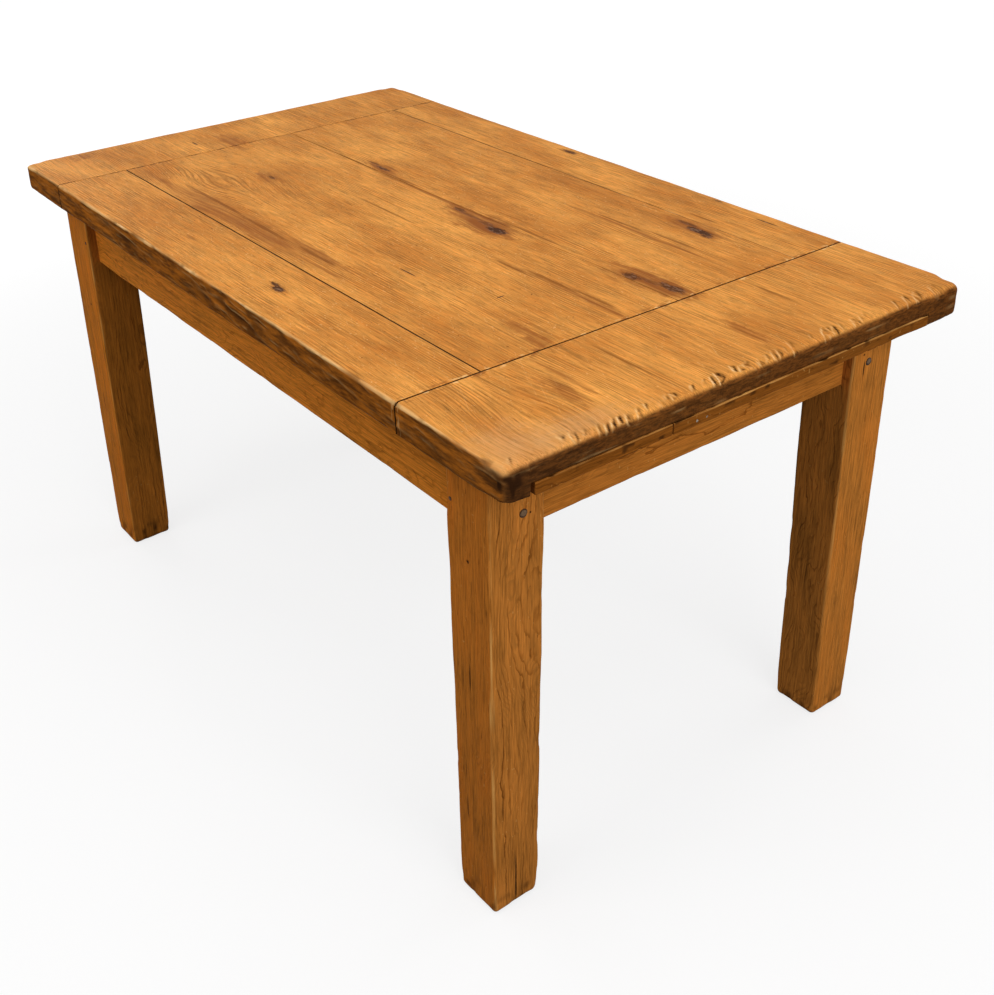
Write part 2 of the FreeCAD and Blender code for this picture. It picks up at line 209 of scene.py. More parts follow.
def make_all(nodes, make):
    """Makes the worn piece of each node, and says how many points it has."""
    for node in nodes:
        pieces[node] = make(node)
        print(node, len(pieces[node].data.vertices), "points")


pieces = {}
left_joint = node_box("end_board_left")[1][0]
right_joint = node_box("end_board_right")[0][0]
top_face = cad_high[2]
underside = node_box("end_board_left")[0][2]
middle_joint = node_box("top_board_middle_wide")[1][1]
print("end joints at x", left_joint.round(3), "and", right_joint.round(3))

# %% [markdown]
# ## Nicks and gouges
# Clamped tools and carried crates have nicked the right end, and the front edge is gouged.
# Carving each stroke by hand would take days. Here both are noise drawn out one way and kept
# only where it peaks, so the strokes are thin, uneven and never in step.

# %% Nicks and gouges
nick_middle, nick_reach, nick_flank = cad_high[0] - 0.015, 0.0125, 0.0022
nick_slant, nick_sway = 0.45, 0.007
nick_clusters = [(-0.345, 0.050, 1.0), (-0.215, 0.050, 0.8), (-0.060, 0.090, 1.0),
                 (0.140, 0.060, 0.6), (0.310, 0.045, 0.4)]


def nicks(points):
    """Slanting strokes across the right end's upper arris: noise drawn out across the end and
    kept where it peaks. A second noise bends their spacing and a third leaves some of them out."""
    slanted = points.copy()
    slanted[:, 1] += nick_slant * (points[:, 0] - nick_middle)
    slanted[:, 1] += nick_sway * smooth_noise(points, (0.06, 0.024, 0.06), 48)
    stroke = ease(smooth_noise(slanted, (0.030, 0.0056, 0.05), 41), -0.02, 0.42)
    present = ease(smooth_noise(slanted, (0.024, 0.019, 0.05), 49), -0.50, 0.05)
    bells = [share * np.exp(-((points[:, 1] - y) / half) ** 2) for y, half, share in nick_clusters]
    reach = nick_reach * (1.0 + 0.75 * smooth_noise(slanted, (0.1, 0.013, 0.1), 43))
    band = 1 - ease(np.abs(points[:, 0] - nick_middle) / reach, 0.5, 1.0)
    band *= ease(cad_high[1] - np.abs(points[:, 1]), 0.016, 0.030)
    broken = 0.45 + 0.55 * ease(smooth_noise(points, (0.006, 0.0045, 0.05), 46), -0.5, 0.3)
    return stroke * present * broken * (0.15 + 0.85 * np.max(bells, axis=0)) * band


def gouges(points):
    """Long crevices on the front edge: noise drawn out along the board, kept where it peaks."""
    slanted = points.copy()
    slanted[:, 2] += 0.08 * points[:, 0]
    deep = ease(smooth_noise(slanted, (0.052, 1.0, 0.0105), 51), 0.00, 0.55)
    fine = ease(smooth_noise(slanted, (0.020, 1.0, 0.0050), 52), 0.15, 0.70)
    present = ease(smooth_noise(points, (0.10, 1.0, 0.3), 53), -0.75, 0.15)
    return np.clip(present * (deep + 0.6 * fine), 0, 1)


print(len(nick_clusters), "clusters of nicks along the right end")

# %% [markdown]
# ## How the top has worn
# Hands and cloths have rounded the long front arris, and the gouges hold old dirt. The shapes
# are all depths below the new surface, so nothing grows past the size of the sawn table. Each
# depth also leaves a mark: grime in the hollows, bare pale wood where an edge is rubbed, painted
# shade on faces that look down and on one flank of each nick, and painted highlights on the other
# flank, above the gouges and along the rubbed upper arris.

# %% Wear of the top
gouge_lip = 0.0030
hollow_depth, gouge_depth, wave_depth, chip_depth = 0.00035, 0.0030, 0.0016, 0.0015
nick_depth, end_hollow_depth, pit_depth = 0.0022, 0.0012, 0.0010


def top_wear(points, facing):
    """Depth below the sawn surface of the top, with its marks of grime and painted shade, and of
    bare wood and painted highlights.
    """
    x, y, z = points.T
    up, right, front = facing[:, 2], facing[:, 0], -facing[:, 1]
    hollow = hollow_depth * (1 + smooth_noise(points, (0.21, 0.06, 0.06), 31))
    on_front = ease(front, 0.55, 0.95)
    on_right = ease(right, 0.45, 0.9)
    worst = 0.55 + 0.45 * ease(x, -0.62, -0.45) * (1 - ease(x, 0.12, 0.4))
    gouge = gouges(points) * on_front * worst
    # lip is the band just above each gouge; it is made pale below, a painted highlight.
    lip = gouges(points - np.array([0, 0, gouge_lip])) * on_front * worst - gouge
    lower_wave = ease(underside + 0.010 - z, 0, 0.010) * ease(front, 0.1, 0.6)
    wavy = lower_wave * wave_depth * (1 + smooth_noise(points, (0.045, 1.0, 1.0), 54))
    arris = ease(4 * np.clip(up, 0, 1) * np.clip(front, 0, 1), 0.45, 1.6)
    chip = arris * ease(smooth_noise(points, (0.017, 0.02, 0.02), 56), 0.30, 0.75)
    at_end = ease(x, nick_middle - 0.03, nick_middle) * ease(up, 0.05, 0.45)
    nick = nicks(points) * at_end
    # Each nick is compared with the nick a little further along y: where this is positive the
    # stroke's lit flank is painted pale, a painted highlight; where negative its other flank is
    # painted dark, a painted shade.
    flank_highlight_and_shade = (nicks(points + np.array([0, nick_flank, 0])) - nicks(points)) * at_end
    end_hollow = 0.8 + 0.6 * smooth_noise(points, (1, 0.09, 0.012), 44)
    end_pits = on_right * ease(smooth_noise(points, (1, 0.014, 0.005), 45), 0.15, 0.75)
    depth = hollow + gouge_depth * gouge + wavy + chip_depth * chip + nick_depth * nick
    depth = depth + end_hollow_depth * on_right * end_hollow + pit_depth * end_pits
    near_corner = ease(x, 0.655, 0.69) * ease(-y, 0.365, 0.392) * (1 - ease(up, 0.2, 0.7))
    near_corner *= 0.25 + 0.65 * ease(smooth_noise(points, (0.008, 0.008, 0.012), 57), -0.1, 0.5)
    # The upper arris is made pale, partly rubbed bare wood and partly a painted highlight.
    rubbed_and_highlight = arris * (0.52 + 0.5 * smooth_noise(points, (0.04, 0.02, 0.02), 55))
    rubbed_and_highlight *= 1 - 0.65 * ease(x, 0.625, 0.670)
    # Faces that look down are darkened here, a painted shade.
    downward_shade = 0.55 * ease(-up, 0.15, 0.6) * (1 - ease(-up, 0.9, 1.0))
    end_dirt = 0.40 * on_right * ease(-y, 0.16, 0.38)
    sliver = on_right * ease(smooth_noise(points, (1, 0.035, 0.0042), 47), 0.45, 0.85)
    # The grime mark gathers real dirt with painted shade; the bare mark gathers rubbed wood with
    # painted highlights.
    grime_and_shade = 0.62 * gouge + 0.35 * chip + 2.6 * np.clip(-flank_highlight_and_shade, 0, 1) + 0.2 * nick + downward_shade
    grime_and_shade = grime_and_shade + 0.35 * end_pits + 0.9 * near_corner + end_dirt
    bare_and_highlight = rubbed_and_highlight + 0.7 * np.clip(lip, 0, 1) + 2.8 * np.clip(flank_highlight_and_shade, 0, 1) + 0.3 * sliver
    sawn = np.maximum(ease(front, 0.45, 0.9), ease(-front, 0.45, 0.9))
    return depth, {"grime_and_shade": np.clip(grime_and_shade, 0, 1), "bare_and_highlight": np.clip(bare_and_highlight, 0, 1), "sawn_edge": sawn}


print("gouges", 1000 * gouge_depth, "mm and nicks", round(1000 * nick_depth, 1), "mm at most")

# %% [markdown]
# ## Edges of the boards
# Four boards run the length of the table between two end boards. At a joint the arris is only
# just broken, which leaves a narrow dark line between two boards. An outer edge is worn round,
# more at the corners, and most on the right end.

# %% Board edges
joint_round, tight_round = 0.0012, 0.00012
edge_round, low_round, corner_round = 0.0048, 0.0030, 0.014
right_round = (0.020, 0.014)
board_sides = {
    "top_board_front": "y_low",
    "top_board_middle_wide": "",
    "top_board_middle_narrow": "",
    "top_board_back": "y_high",
    "end_board_left": "x_low y_low y_high",
    "end_board_right": "x_high y_low y_high",
}


def outer_reach(points, low, high, sides):
    """1 at an outer edge of the board, easing to 0 some way in from it."""
    reach = np.zeros(len(points))
    for name, axis, edge in (("x_low", 0, low[0]), ("x_high", 0, high[0]),
                             ("y_low", 1, low[1]), ("y_high", 1, high[1])):
        if name in sides:
            reach = np.maximum(reach, 1 - ease(np.abs(points[:, axis] - edge), 0.025, 0.045))
    return reach


def board_radii(points, low, high, sides):
    """Radii along x, y and z: small at joints, larger and uneven at outer edges, larger still
    at the top's corners, and largest on the right end's upper arris."""
    uneven = 1 + 0.28 * smooth_noise(points, (0.07, 0.07, 1.0), 11)
    uneven += 0.16 * smooth_noise(points, (0.018, 0.018, 1.0), 12)
    middle = (low + high) / 2
    lift = ease(points[:, 2], low[2] + 0.004, low[2] + 0.018)
    tight = np.abs(points[:, :2] - (left_joint, middle_joint)).min(axis=1) < 0.01
    small = np.where(tight, tight_round, joint_round)
    radii = even_radii(small)
    edge = (low_round + (edge_round - low_round) * lift) * uneven
    for axis, letter in enumerate("xy"):
        lower_half = points[:, axis] < middle[axis]
        for side, half in (("_low", lower_half), ("_high", ~lower_half)):
            if letter + side in sides:
                radii[half, axis] = edge[half]
    above = points[:, 2] > middle[2]
    reach = outer_reach(points, low, high, sides)
    upright = np.where(above, edge_round, low_round) * uneven
    radii[:, 2] = small + (upright - small) * reach
    if "x_" in sides:
        end = high[0] if "x_high" in sides else low[0]
        corner = 1 - ease(np.abs(points[:, 0] - end), 0.025, 0.045)
        corner *= 1 - ease(np.minimum(points[:, 1] - low[1], high[1] - points[:, 1]), 0.020, 0.040)
        radii[:, :2] += corner[:, None] * ((corner_round * uneven)[:, None] - radii[:, :2])
    if "x_high" in sides:
        near_end = ease(points[:, 0], high[0] - 0.05, high[0] - 0.035)
        swell = 1 + 0.2 * smooth_noise(points, (1.0, 0.05, 1.0), 13)
        radii[:, 0] += near_end * lift * (1 - corner) * (right_round[0] * swell - radii[:, 0])
        radii[:, 2] += near_end * above * (right_round[1] * swell - radii[:, 2])
    return radii


print(sum(bool(sides) for sides in board_sides.values()), "boards have outer edges")

# %% [markdown]
# ## The six boards of the top
# Each board is a grid block with its own lines: fine at an outer edge, where the wear is, and
# coarse in the middle. At the right end a strip is let in, and the board is thinner above it.
# A boolean cut would leave ragged triangles there, so the grid is squeezed up instead.

# %% Boards
outer_lines, joint_lines = (0.030, 0.0018), (0.003, 0.0006)
thick_lines = ((0.006, 0.0015), (0.018, 0.0015))
board_step, end_board_step, thick_step, hidden_step = 0.0042, 0.0017, 0.0025, 0.013
rebate_low, rebate_high = node_box("edge_strip_near")[0], node_box("edge_strip_far")[1]
strip_gap = 0.005


def board_lines(low, high, sides):
    """The three sets of grid lines of a board, crowded at its outer edges and joints."""
    steps = (board_step, board_step) if "x_" not in sides else (board_step, end_board_step)
    lines = []
    for axis, letter in enumerate("xy"):
        outer = [letter + side in sides for side in ("_low", "_high")]
        ends = [outer_lines if side else joint_lines for side in outer]
        lines.append(grid_lines(low[axis], high[axis], steps[axis], ends))
    ends = thick_lines if sides else (joint_lines, joint_lines)
    lines.append(grid_lines(low[2], high[2], thick_step if sides else hidden_step, ends))
    return lines


def squeeze_over_rebate(points):
    """Above the let-in strip the end board is thinner: all that lies past the rebate's back
    wall is squeezed up between the strip's top and the table's face."""
    moved = points.copy()
    past = points[:, 0] > rebate_low[0]
    within = (points[:, 1] > rebate_low[1] - strip_gap) & (points[:, 1] < rebate_high[1])
    share = (top_face - rebate_high[2]) / (top_face - underside)
    moved[past & within, 2] = rebate_high[2] + (points[past & within, 2] - underside) * share
    return moved


def make_board(node):
    """One board: grid, round arrises, rebate on the right end, then its wear."""
    sides = board_sides[node]
    low, high = node_box(node)
    if "end_board" not in node:
        low[0], high[0] = left_joint, right_joint
    lines = board_lines(low, high, sides)
    if node == "end_board_right":
        lines[0] = wall_lines(lines[0], [rebate_low[0]])
        lines[1] = wall_lines(lines[1], [rebate_low[1] - strip_gap, rebate_high[1]])
    points, faces = block_grid(lines)
    points, facing = round_arrises(points, low, high, board_radii(points, low, high, sides))
    if node == "end_board_right":
        points = squeeze_over_rebate(points)
    depth, marks = top_wear(points, facing)
    marks["end_grain"] = ease(np.abs(facing[:, 0]), 0.45, 0.85)
    at_joint = (np.abs(facing[:, 0]) > 0.99) & ("x_" not in sides)
    depth = np.where(at_joint, 0, depth)
    points = np.clip(points - facing * depth[:, None], low, high)
    return make_piece("worn_" + node, node, points, faces, marks)


make_all(board_sides, make_board)

# %% [markdown]
# ## The edge strip
# At the right end the lower edge was cut away and a strip of sound pine let in, in two
# lengths. It stands a little proud of the worn end grain above it. The strips are grid blocks
# like the boards.

# %% Strips
strip_round = 0.0022
strip_step = 0.0028
strip_thin_lines = (0.005, 0.0009)


def strip_wear(points, facing):
    """Shallow hollows and small chips along the strip, with a pale painted highlight along its
    upper arris.
    """
    hollow = 0.0005 * (1 + smooth_noise(points, (0.02, 0.035, 0.012), 61))
    chip = ease(smooth_noise(points, (0.02, 0.012, 0.006), 62), 0.45, 0.85)
    # The strip's upper arris is made pale where its top face turns, a painted highlight.
    upper_arris_highlight = ease(4 * np.clip(facing[:, 2], 0, 1) * np.clip(facing[:, 0], 0, 1), 0.3, 1.2)
    bare_and_highlight = upper_arris_highlight * (0.95 + 0.35 * smooth_noise(points, (0.02, 0.03, 0.02), 63))
    return hollow + 0.0011 * chip, {"grime_and_shade": 0.75 * chip, "bare_and_highlight": np.clip(bare_and_highlight, 0, 1)}


def make_strip(node):
    """One length of strip: grid block, small uneven radii, then its wear."""
    low, high = node_box(node)
    ends = (strip_thin_lines, strip_thin_lines)
    points, faces = block_grid([grid_lines(low[i], high[i], strip_step, ends) for i in range(3)])
    uneven = 1 + 0.5 * smooth_noise(points, (0.03, 0.03, 0.03), 64)
    radii = even_radii(strip_round * uneven)
    points, facing = round_arrises(points, low, high, radii)
    depth, marks = strip_wear(points, facing)
    marks["end_grain"] = ease(np.abs(facing[:, 1]), 0.5, 0.9)
    marks["figure"] = np.full(len(points), 0.6)
    points = points - facing * depth[:, None]
    return make_piece("worn_" + node, node, points, faces, marks)


make_all(("edge_strip_near", "edge_strip_far"), make_strip)

# %% [markdown]
# ## Round bars
# Nails, pegs and pins are round. A cylinder would close its end in a fan of thin triangles
# about one pole, which a worn end cannot use. So a bar is a grid block too, with its square
# section pressed into a disc.

# %% Rods without poles
rod_lines = np.linspace(-1, 1, 11)


def rod_surface(start, way, stations, radii):
    """A round bar from a block grid: the unit square (u, v) becomes a disc as
    (u sqrt(1 - v^2/2), v sqrt(1 - u^2/2)), scaled by the radius at each station along the way.
    Gives points, quads, the share of the radius at each point and its distance along the bar."""
    grid, faces = block_grid([rod_lines, rod_lines, stations])
    u, v, along = grid.T
    disc = np.stack([u * np.sqrt(1 - v * v / 2), v * np.sqrt(1 - u * u / 2)], -1)
    side_axis, up_axis = np.cross(way, (0, 0, 1)), np.array((0, 0, 1))
    wide = np.interp(along, stations, radii)[:, None]
    flat = disc[:, :1] * side_axis + disc[:, 1:] * up_axis
    points = np.asarray(start) + wide * flat + along[:, None] * np.asarray(way)
    return points, faces, np.linalg.norm(disc, axis=-1), along


def gather(parts):
    """Several point and quad sets as one, with the quads' numbers moved on."""
    counts = np.cumsum([0] + [len(points) for points, _ in parts[:-1]])
    return (np.concatenate([points for points, _ in parts]),
            np.concatenate([faces + count for (_, faces), count in zip(parts, counts)]))


print("a bar's end has", (len(rod_lines) - 1) ** 2, "quads")

# %% [markdown]
# ## Nails
# Two nails hold the far length of strip. A nail has a low flat head, set in just below the
# wood, and a thin shank with a point.

# %% Nails of the far strip
nail_low, nail_high = node_box("edge_strip_nails")
nail_head, nail_shank, nail_set_in = 0.0021, 0.0011, 0.0003
shank_share = nail_shank / nail_head
nail_length = nail_high[0] - nail_low[0] - nail_set_in
nail_stations = np.array([0.0, 0.0006, 0.0010, 0.0011, 0.02, nail_length])
nail_radii = nail_head * np.array([0.8, 1, 1, shank_share, shank_share, 0.6 * shank_share])
nail_centres = (nail_low[1] + nail_head, nail_high[1] - nail_head)
nail_parts = []
for centre in nail_centres:
    start = (nail_high[0] - nail_set_in, centre, (nail_low[2] + nail_high[2]) / 2)
    nail_parts.append(rod_surface(start, (-1, 0, 0), nail_stations, nail_radii)[:2])
points, faces = gather(nail_parts)
nails = make_piece("strip_nail_heads", "edge_strip_nails", points, faces, {})
pieces["edge_strip_nails"] = nails
print("nails at y", [round(float(c), 3) for c in nail_centres])

# %% [markdown]
# ## Legs
# Each leg is a square post, left full where the rails are tenoned in and planed to a taper on
# its two inner faces below. The arrises are rubbed and knocked, and the foot is bevelled so
# that it does not split when the table is dragged. A grid block takes the taper as a simple
# scaling of each level towards the outer corner.

# %% Leg shapes
foot_section = 0.078
foot_bevel = 0.011
foot_swell = 1.4
leg_round = 0.0046
leg_step = 0.0034
# How much the legs' inner faces, under the top, are darkened: partly dirt and partly painted shade.
usual_dirt_and_shade, inner_dirt_and_shade, low_dirt = 0.24, {"leg_front_left": 0.42}, 0.05
leg_arris_lines = (0.012, 0.0016)
leg_end_lines = ((0.014, 0.0016), (0.004, 0.002))
hidden_round = 0.0008
rail_bottom = node_box("rail_front")[0][2]
figured_faces = {"leg_front_right": (1, 0), "leg_back_right": (0, -1),
                 "leg_front_left": (1, 0), "leg_back_left": (0, 1)}


def taper(points, outer, section):
    """Each level shrinks towards the leg's outer corner, from full size under the rail to the
    foot's size at the floor."""
    share = 1 - (1 - foot_section / section) * np.clip(1 - points[:, 2] / rail_bottom, 0, 1)
    moved = points.copy()
    moved[:, :2] = outer + (points[:, :2] - outer) * share[:, None]
    return moved


def leg_wear(points, facing):
    """Hollows of the plane, knocks along the arrises and a scuffed foot."""
    hollow = 0.00045 * (1 + smooth_noise(points, (0.05, 0.05, 0.17), 71))
    arris = ease(4 * np.abs(facing[:, 0] * facing[:, 1]), 0.25, 1.2)
    knock = ease(smooth_noise(points, (0.03, 0.03, 0.034), 72), 0.25, 0.8) * arris
    foot = 1 - ease(points[:, 2], 0.008, 0.05)
    scuff = foot * ease(smooth_noise(points, (0.012, 0.012, 0.012), 73), -0.2, 0.7)
    bare_and_highlight = arris * (0.6 + 0.7 * smooth_noise(points, (0.03, 0.03, 0.040), 74)) * (1 - 0.6 * foot)
    depth = hollow + 0.0011 * knock + 0.0008 * scuff
    return depth, {"grime_and_shade": np.clip(0.6 * scuff, 0, 1), "bare_and_highlight": np.clip(bare_and_highlight, 0, 1)}


def make_leg(node):
    """One leg: grid block, uneven arrises, bevelled foot, taper and wear."""
    low, high = node_box(node)
    sides = (leg_arris_lines, leg_arris_lines)
    lines = [grid_lines(low[i], high[i], leg_step, sides) for i in (0, 1)]
    points, faces = block_grid(lines + [grid_lines(low[2], high[2], leg_step, leg_end_lines)])
    uneven = 1 + 0.4 * smooth_noise(points, (0.2, 0.2, 0.06), 75)
    uneven += 0.10 * smooth_noise(points, (0.2, 0.2, 0.016), 76)
    radii = even_radii(leg_round * uneven)
    radii *= (1 + foot_swell * (1 - ease(points[:, 2], 0.0, 0.05)))[:, None]
    radii[:, 2] = np.where(points[:, 2] < high[2] / 2, foot_bevel * uneven, hidden_round)
    points, facing = round_arrises(points, low, high, radii)
    outer = np.where(np.abs(low[:2]) > np.abs(high[:2]), low[:2], high[:2])
    points = taper(points, outer, high[0] - low[0])
    depth, marks = leg_wear(points, facing)
    # The inner faces are darkened, partly dirt and partly painted shade under the top.
    inner_side = ease(np.max(-facing[:, :2] * np.sign(outer), axis=1), 0.5, 0.9)
    dirt_and_shade = inner_dirt_and_shade.get(node, usual_dirt_and_shade) * inner_side
    dirt_and_shade += low_dirt * (1 - ease(points[:, 2], 0.1, 0.6))
    marks["grime_and_shade"] = np.clip(marks["grime_and_shade"] + dirt_and_shade, 0, 1)
    marks["end_grain"] = ease(np.abs(facing[:, 2]), 0.5, 0.9)
    marks["figure"] = ease(np.abs(facing[:, :2] @ np.array(figured_faces[node])), 0.4, 0.9)
    points = points - facing * depth[:, None]
    points[:, 2] = np.clip(points[:, 2], 0, high[2])
    return make_piece("worn_" + node, node, points, faces, marks)


make_all(figured_faces, make_leg)

# %% [markdown]
# ## Rails
# The rails are planed boards on edge, set back from the legs' outer faces, with a groove on
# the inner face that takes the lips of the top's buttons. Only what shows between the legs is
# made: the tenons are inside the legs. The groove is a band of the inner face's grid points,
# pushed in between two close pairs of lines.

# %% Rail shapes
rail_round = 0.0030
rail_step = 0.0042
rail_arris_lines, rail_end_lines = (0.006, 0.0012), (0.002, 0.001)
into_leg = 0.002
groove_low, groove_high, groove_depth = underside - 0.022, underside - 0.012, 0.010
rail_runs = {"rail_front": (0, 1), "rail_back": (0, -1), "rail_right": (1, -1), "rail_left": (1, 1)}


def rail_wear(points, facing, run):
    """Long shallow hollows and knocks on the lower arris."""
    size = np.array([0.03, 0.03, 0.03])
    size[run] = 0.16
    hollow = 0.0004 * (1 + smooth_noise(points, size, 81))
    low_edge = ease(-facing[:, 2], 0.2, 0.8)
    size[run] = 0.03
    knock = low_edge * ease(smooth_noise(points, size, 82), 0.2, 0.8)
    bare_and_highlight = low_edge * (1 - ease(-facing[:, 2], 0.8, 1.0)) * 0.6
    return hollow + 0.0012 * knock, {"grime_and_shade": 0.2 * knock, "bare_and_highlight": np.clip(bare_and_highlight, 0, 1)}


def make_rail(node):
    """One rail: grid block between the legs, rounded lower arris, button groove and wear."""
    run, inward = rail_runs[node]
    across = 1 - run
    low, high = node_box(node)
    half = abs(node_box("leg_front_left")[1][run]) + into_leg
    low[run], high[run] = -half, half
    ends = {run: (rail_end_lines, rail_end_lines), across: (rail_arris_lines, rail_arris_lines),
            2: (rail_arris_lines, rail_end_lines)}
    lines = [grid_lines(low[i], high[i], rail_step, ends[i]) for i in range(3)]
    lines[2] = wall_lines(lines[2], (groove_low, groove_high))
    points, faces = block_grid(lines)
    inner = high[across] if inward > 0 else low[across]
    in_groove = (points[:, 2] > groove_low) & (points[:, 2] < groove_high)
    in_groove &= points[:, across] == inner
    uneven = 1 + 0.4 * smooth_noise(points, (0.05, 0.05, 0.05), 83)
    radii = even_radii(rail_round * uneven)
    radii[:, run] = hidden_round
    radii[:, 2] = np.where(points[:, 2] > groove_low, hidden_round, radii[:, 2])
    points, facing = round_arrises(points, low, high, radii)
    depth, marks = rail_wear(points, facing, run)
    points = points - facing * depth[:, None]
    points[in_groove, across] -= inward * groove_depth
    marks["end_grain"] = np.zeros(len(points))
    marks["figure"] = np.full(len(points), 0.55)
    return make_piece("worn_" + node, node, points, faces, marks)


make_all(rail_runs, make_rail)

# %% [markdown]
# ## Pegs and pins
# A peg driven through each end rail's tenon shows as a small round of end grain on the leg,
# and a slim pin does the same for the long rails. With the years a peg ends up a little above
# or below the leg's face, with a dark ring where dirt has settled round it. The lower part of
# each end is darkened too, a painted shadow.

# %% Peg and pin ends
peg_proud, peg_dome, peg_length = 0.0006, 0.0007, 0.045
peg_stations = np.array([0.0, 0.001, 0.003, peg_length * 0.5, peg_length])


def make_pegs(name, node, centres, axis, radius):
    """Rods driven in at each centre towards the table's middle along an axis, their outer ends
    slightly domed."""
    parts, grime_and_shade, bare_and_highlight = [], [], []
    for number, centre in enumerate(centres):
        way = np.zeros(3)
        way[axis] = -np.sign(centre[axis])
        start = np.array(centre) - peg_proud * way
        radii = np.full(len(peg_stations), radius)
        points, faces, share, along = rod_surface(start, way, peg_stations, radii)
        lip = smooth_noise(points, (0.005, 0.005, 0.005), 90 + number)
        dome = np.where(along == 0, peg_dome * (share ** 2 + 0.5 * lip), 0)
        points = points + dome[:, None] * way
        # The lower part of the peg's end is darkened, a painted shadow.
        lower_shadow = ease(-(points[:, 2] - centre[2]) / radius + 0.6 * lip, 0.1, 0.9)
        lower_shadow *= ease(share, 0.35, 0.75)
        parts.append((points, faces))
        grime_and_shade.append(np.clip(ease(share, 0.72, 0.95) + 0.8 * lower_shadow + 0.25 * lip, 0, 1))
        bare_and_highlight.append(np.clip(0.45 + 0.4 * lip, 0, 1) * (1 - ease(share, 0.5, 0.9)))
    points, faces = gather(parts)
    marks = {"grime_and_shade": np.concatenate(grime_and_shade), "bare_and_highlight": np.concatenate(bare_and_highlight)}
    return make_piece(name, node, points, faces, marks)


leg_corner = node_box("leg_back_right")[1]
for name, node, axis in (("peg_ends", "end_rail_pegs", 0), ("pin_ends", "long_rail_pins", 1)):
    low, high = node_box(node)
    radius = (high[2] - low[2]) / 2
    place = high - radius
    place[axis] = leg_corner[axis]
    centres = [(sx * place[0], sy * place[1], place[2]) for sx in (-1, 1) for sy in (-1, 1)]
    pieces[node] = make_pegs(name, node, centres, axis, radius)
    print(node, round(radius * 2000), "mm across")

# %% [markdown]
# ## Tools for finishes
# A finish is a tree of shader nodes. Wiring dozens of nodes by hand hides the formula, so a
# field stands here for "a number that changes over the surface": adding or multiplying fields
# adds the Math nodes. Every pattern reads Object coordinates, which are the table's own metres.


# %% Fields and finishes
class Field:
    """A number that changes over a surface; sums and products of fields become Math nodes."""

    def __init__(self, finish, socket):
        self.finish = finish
        self.socket = socket

    def __add__(self, other):
        return self.finish.math("ADD", self, other)

    def __sub__(self, other):
        return self.finish.math("SUBTRACT", self, other)

    def __rsub__(self, other):
        return self.finish.math("SUBTRACT", other, self)

    def __mul__(self, other):
        return self.finish.math("MULTIPLY", self, other)

    def __truediv__(self, other):
        return self.finish.math("DIVIDE", self, other)

    __radd__ = __add__
    __rmul__ = __mul__


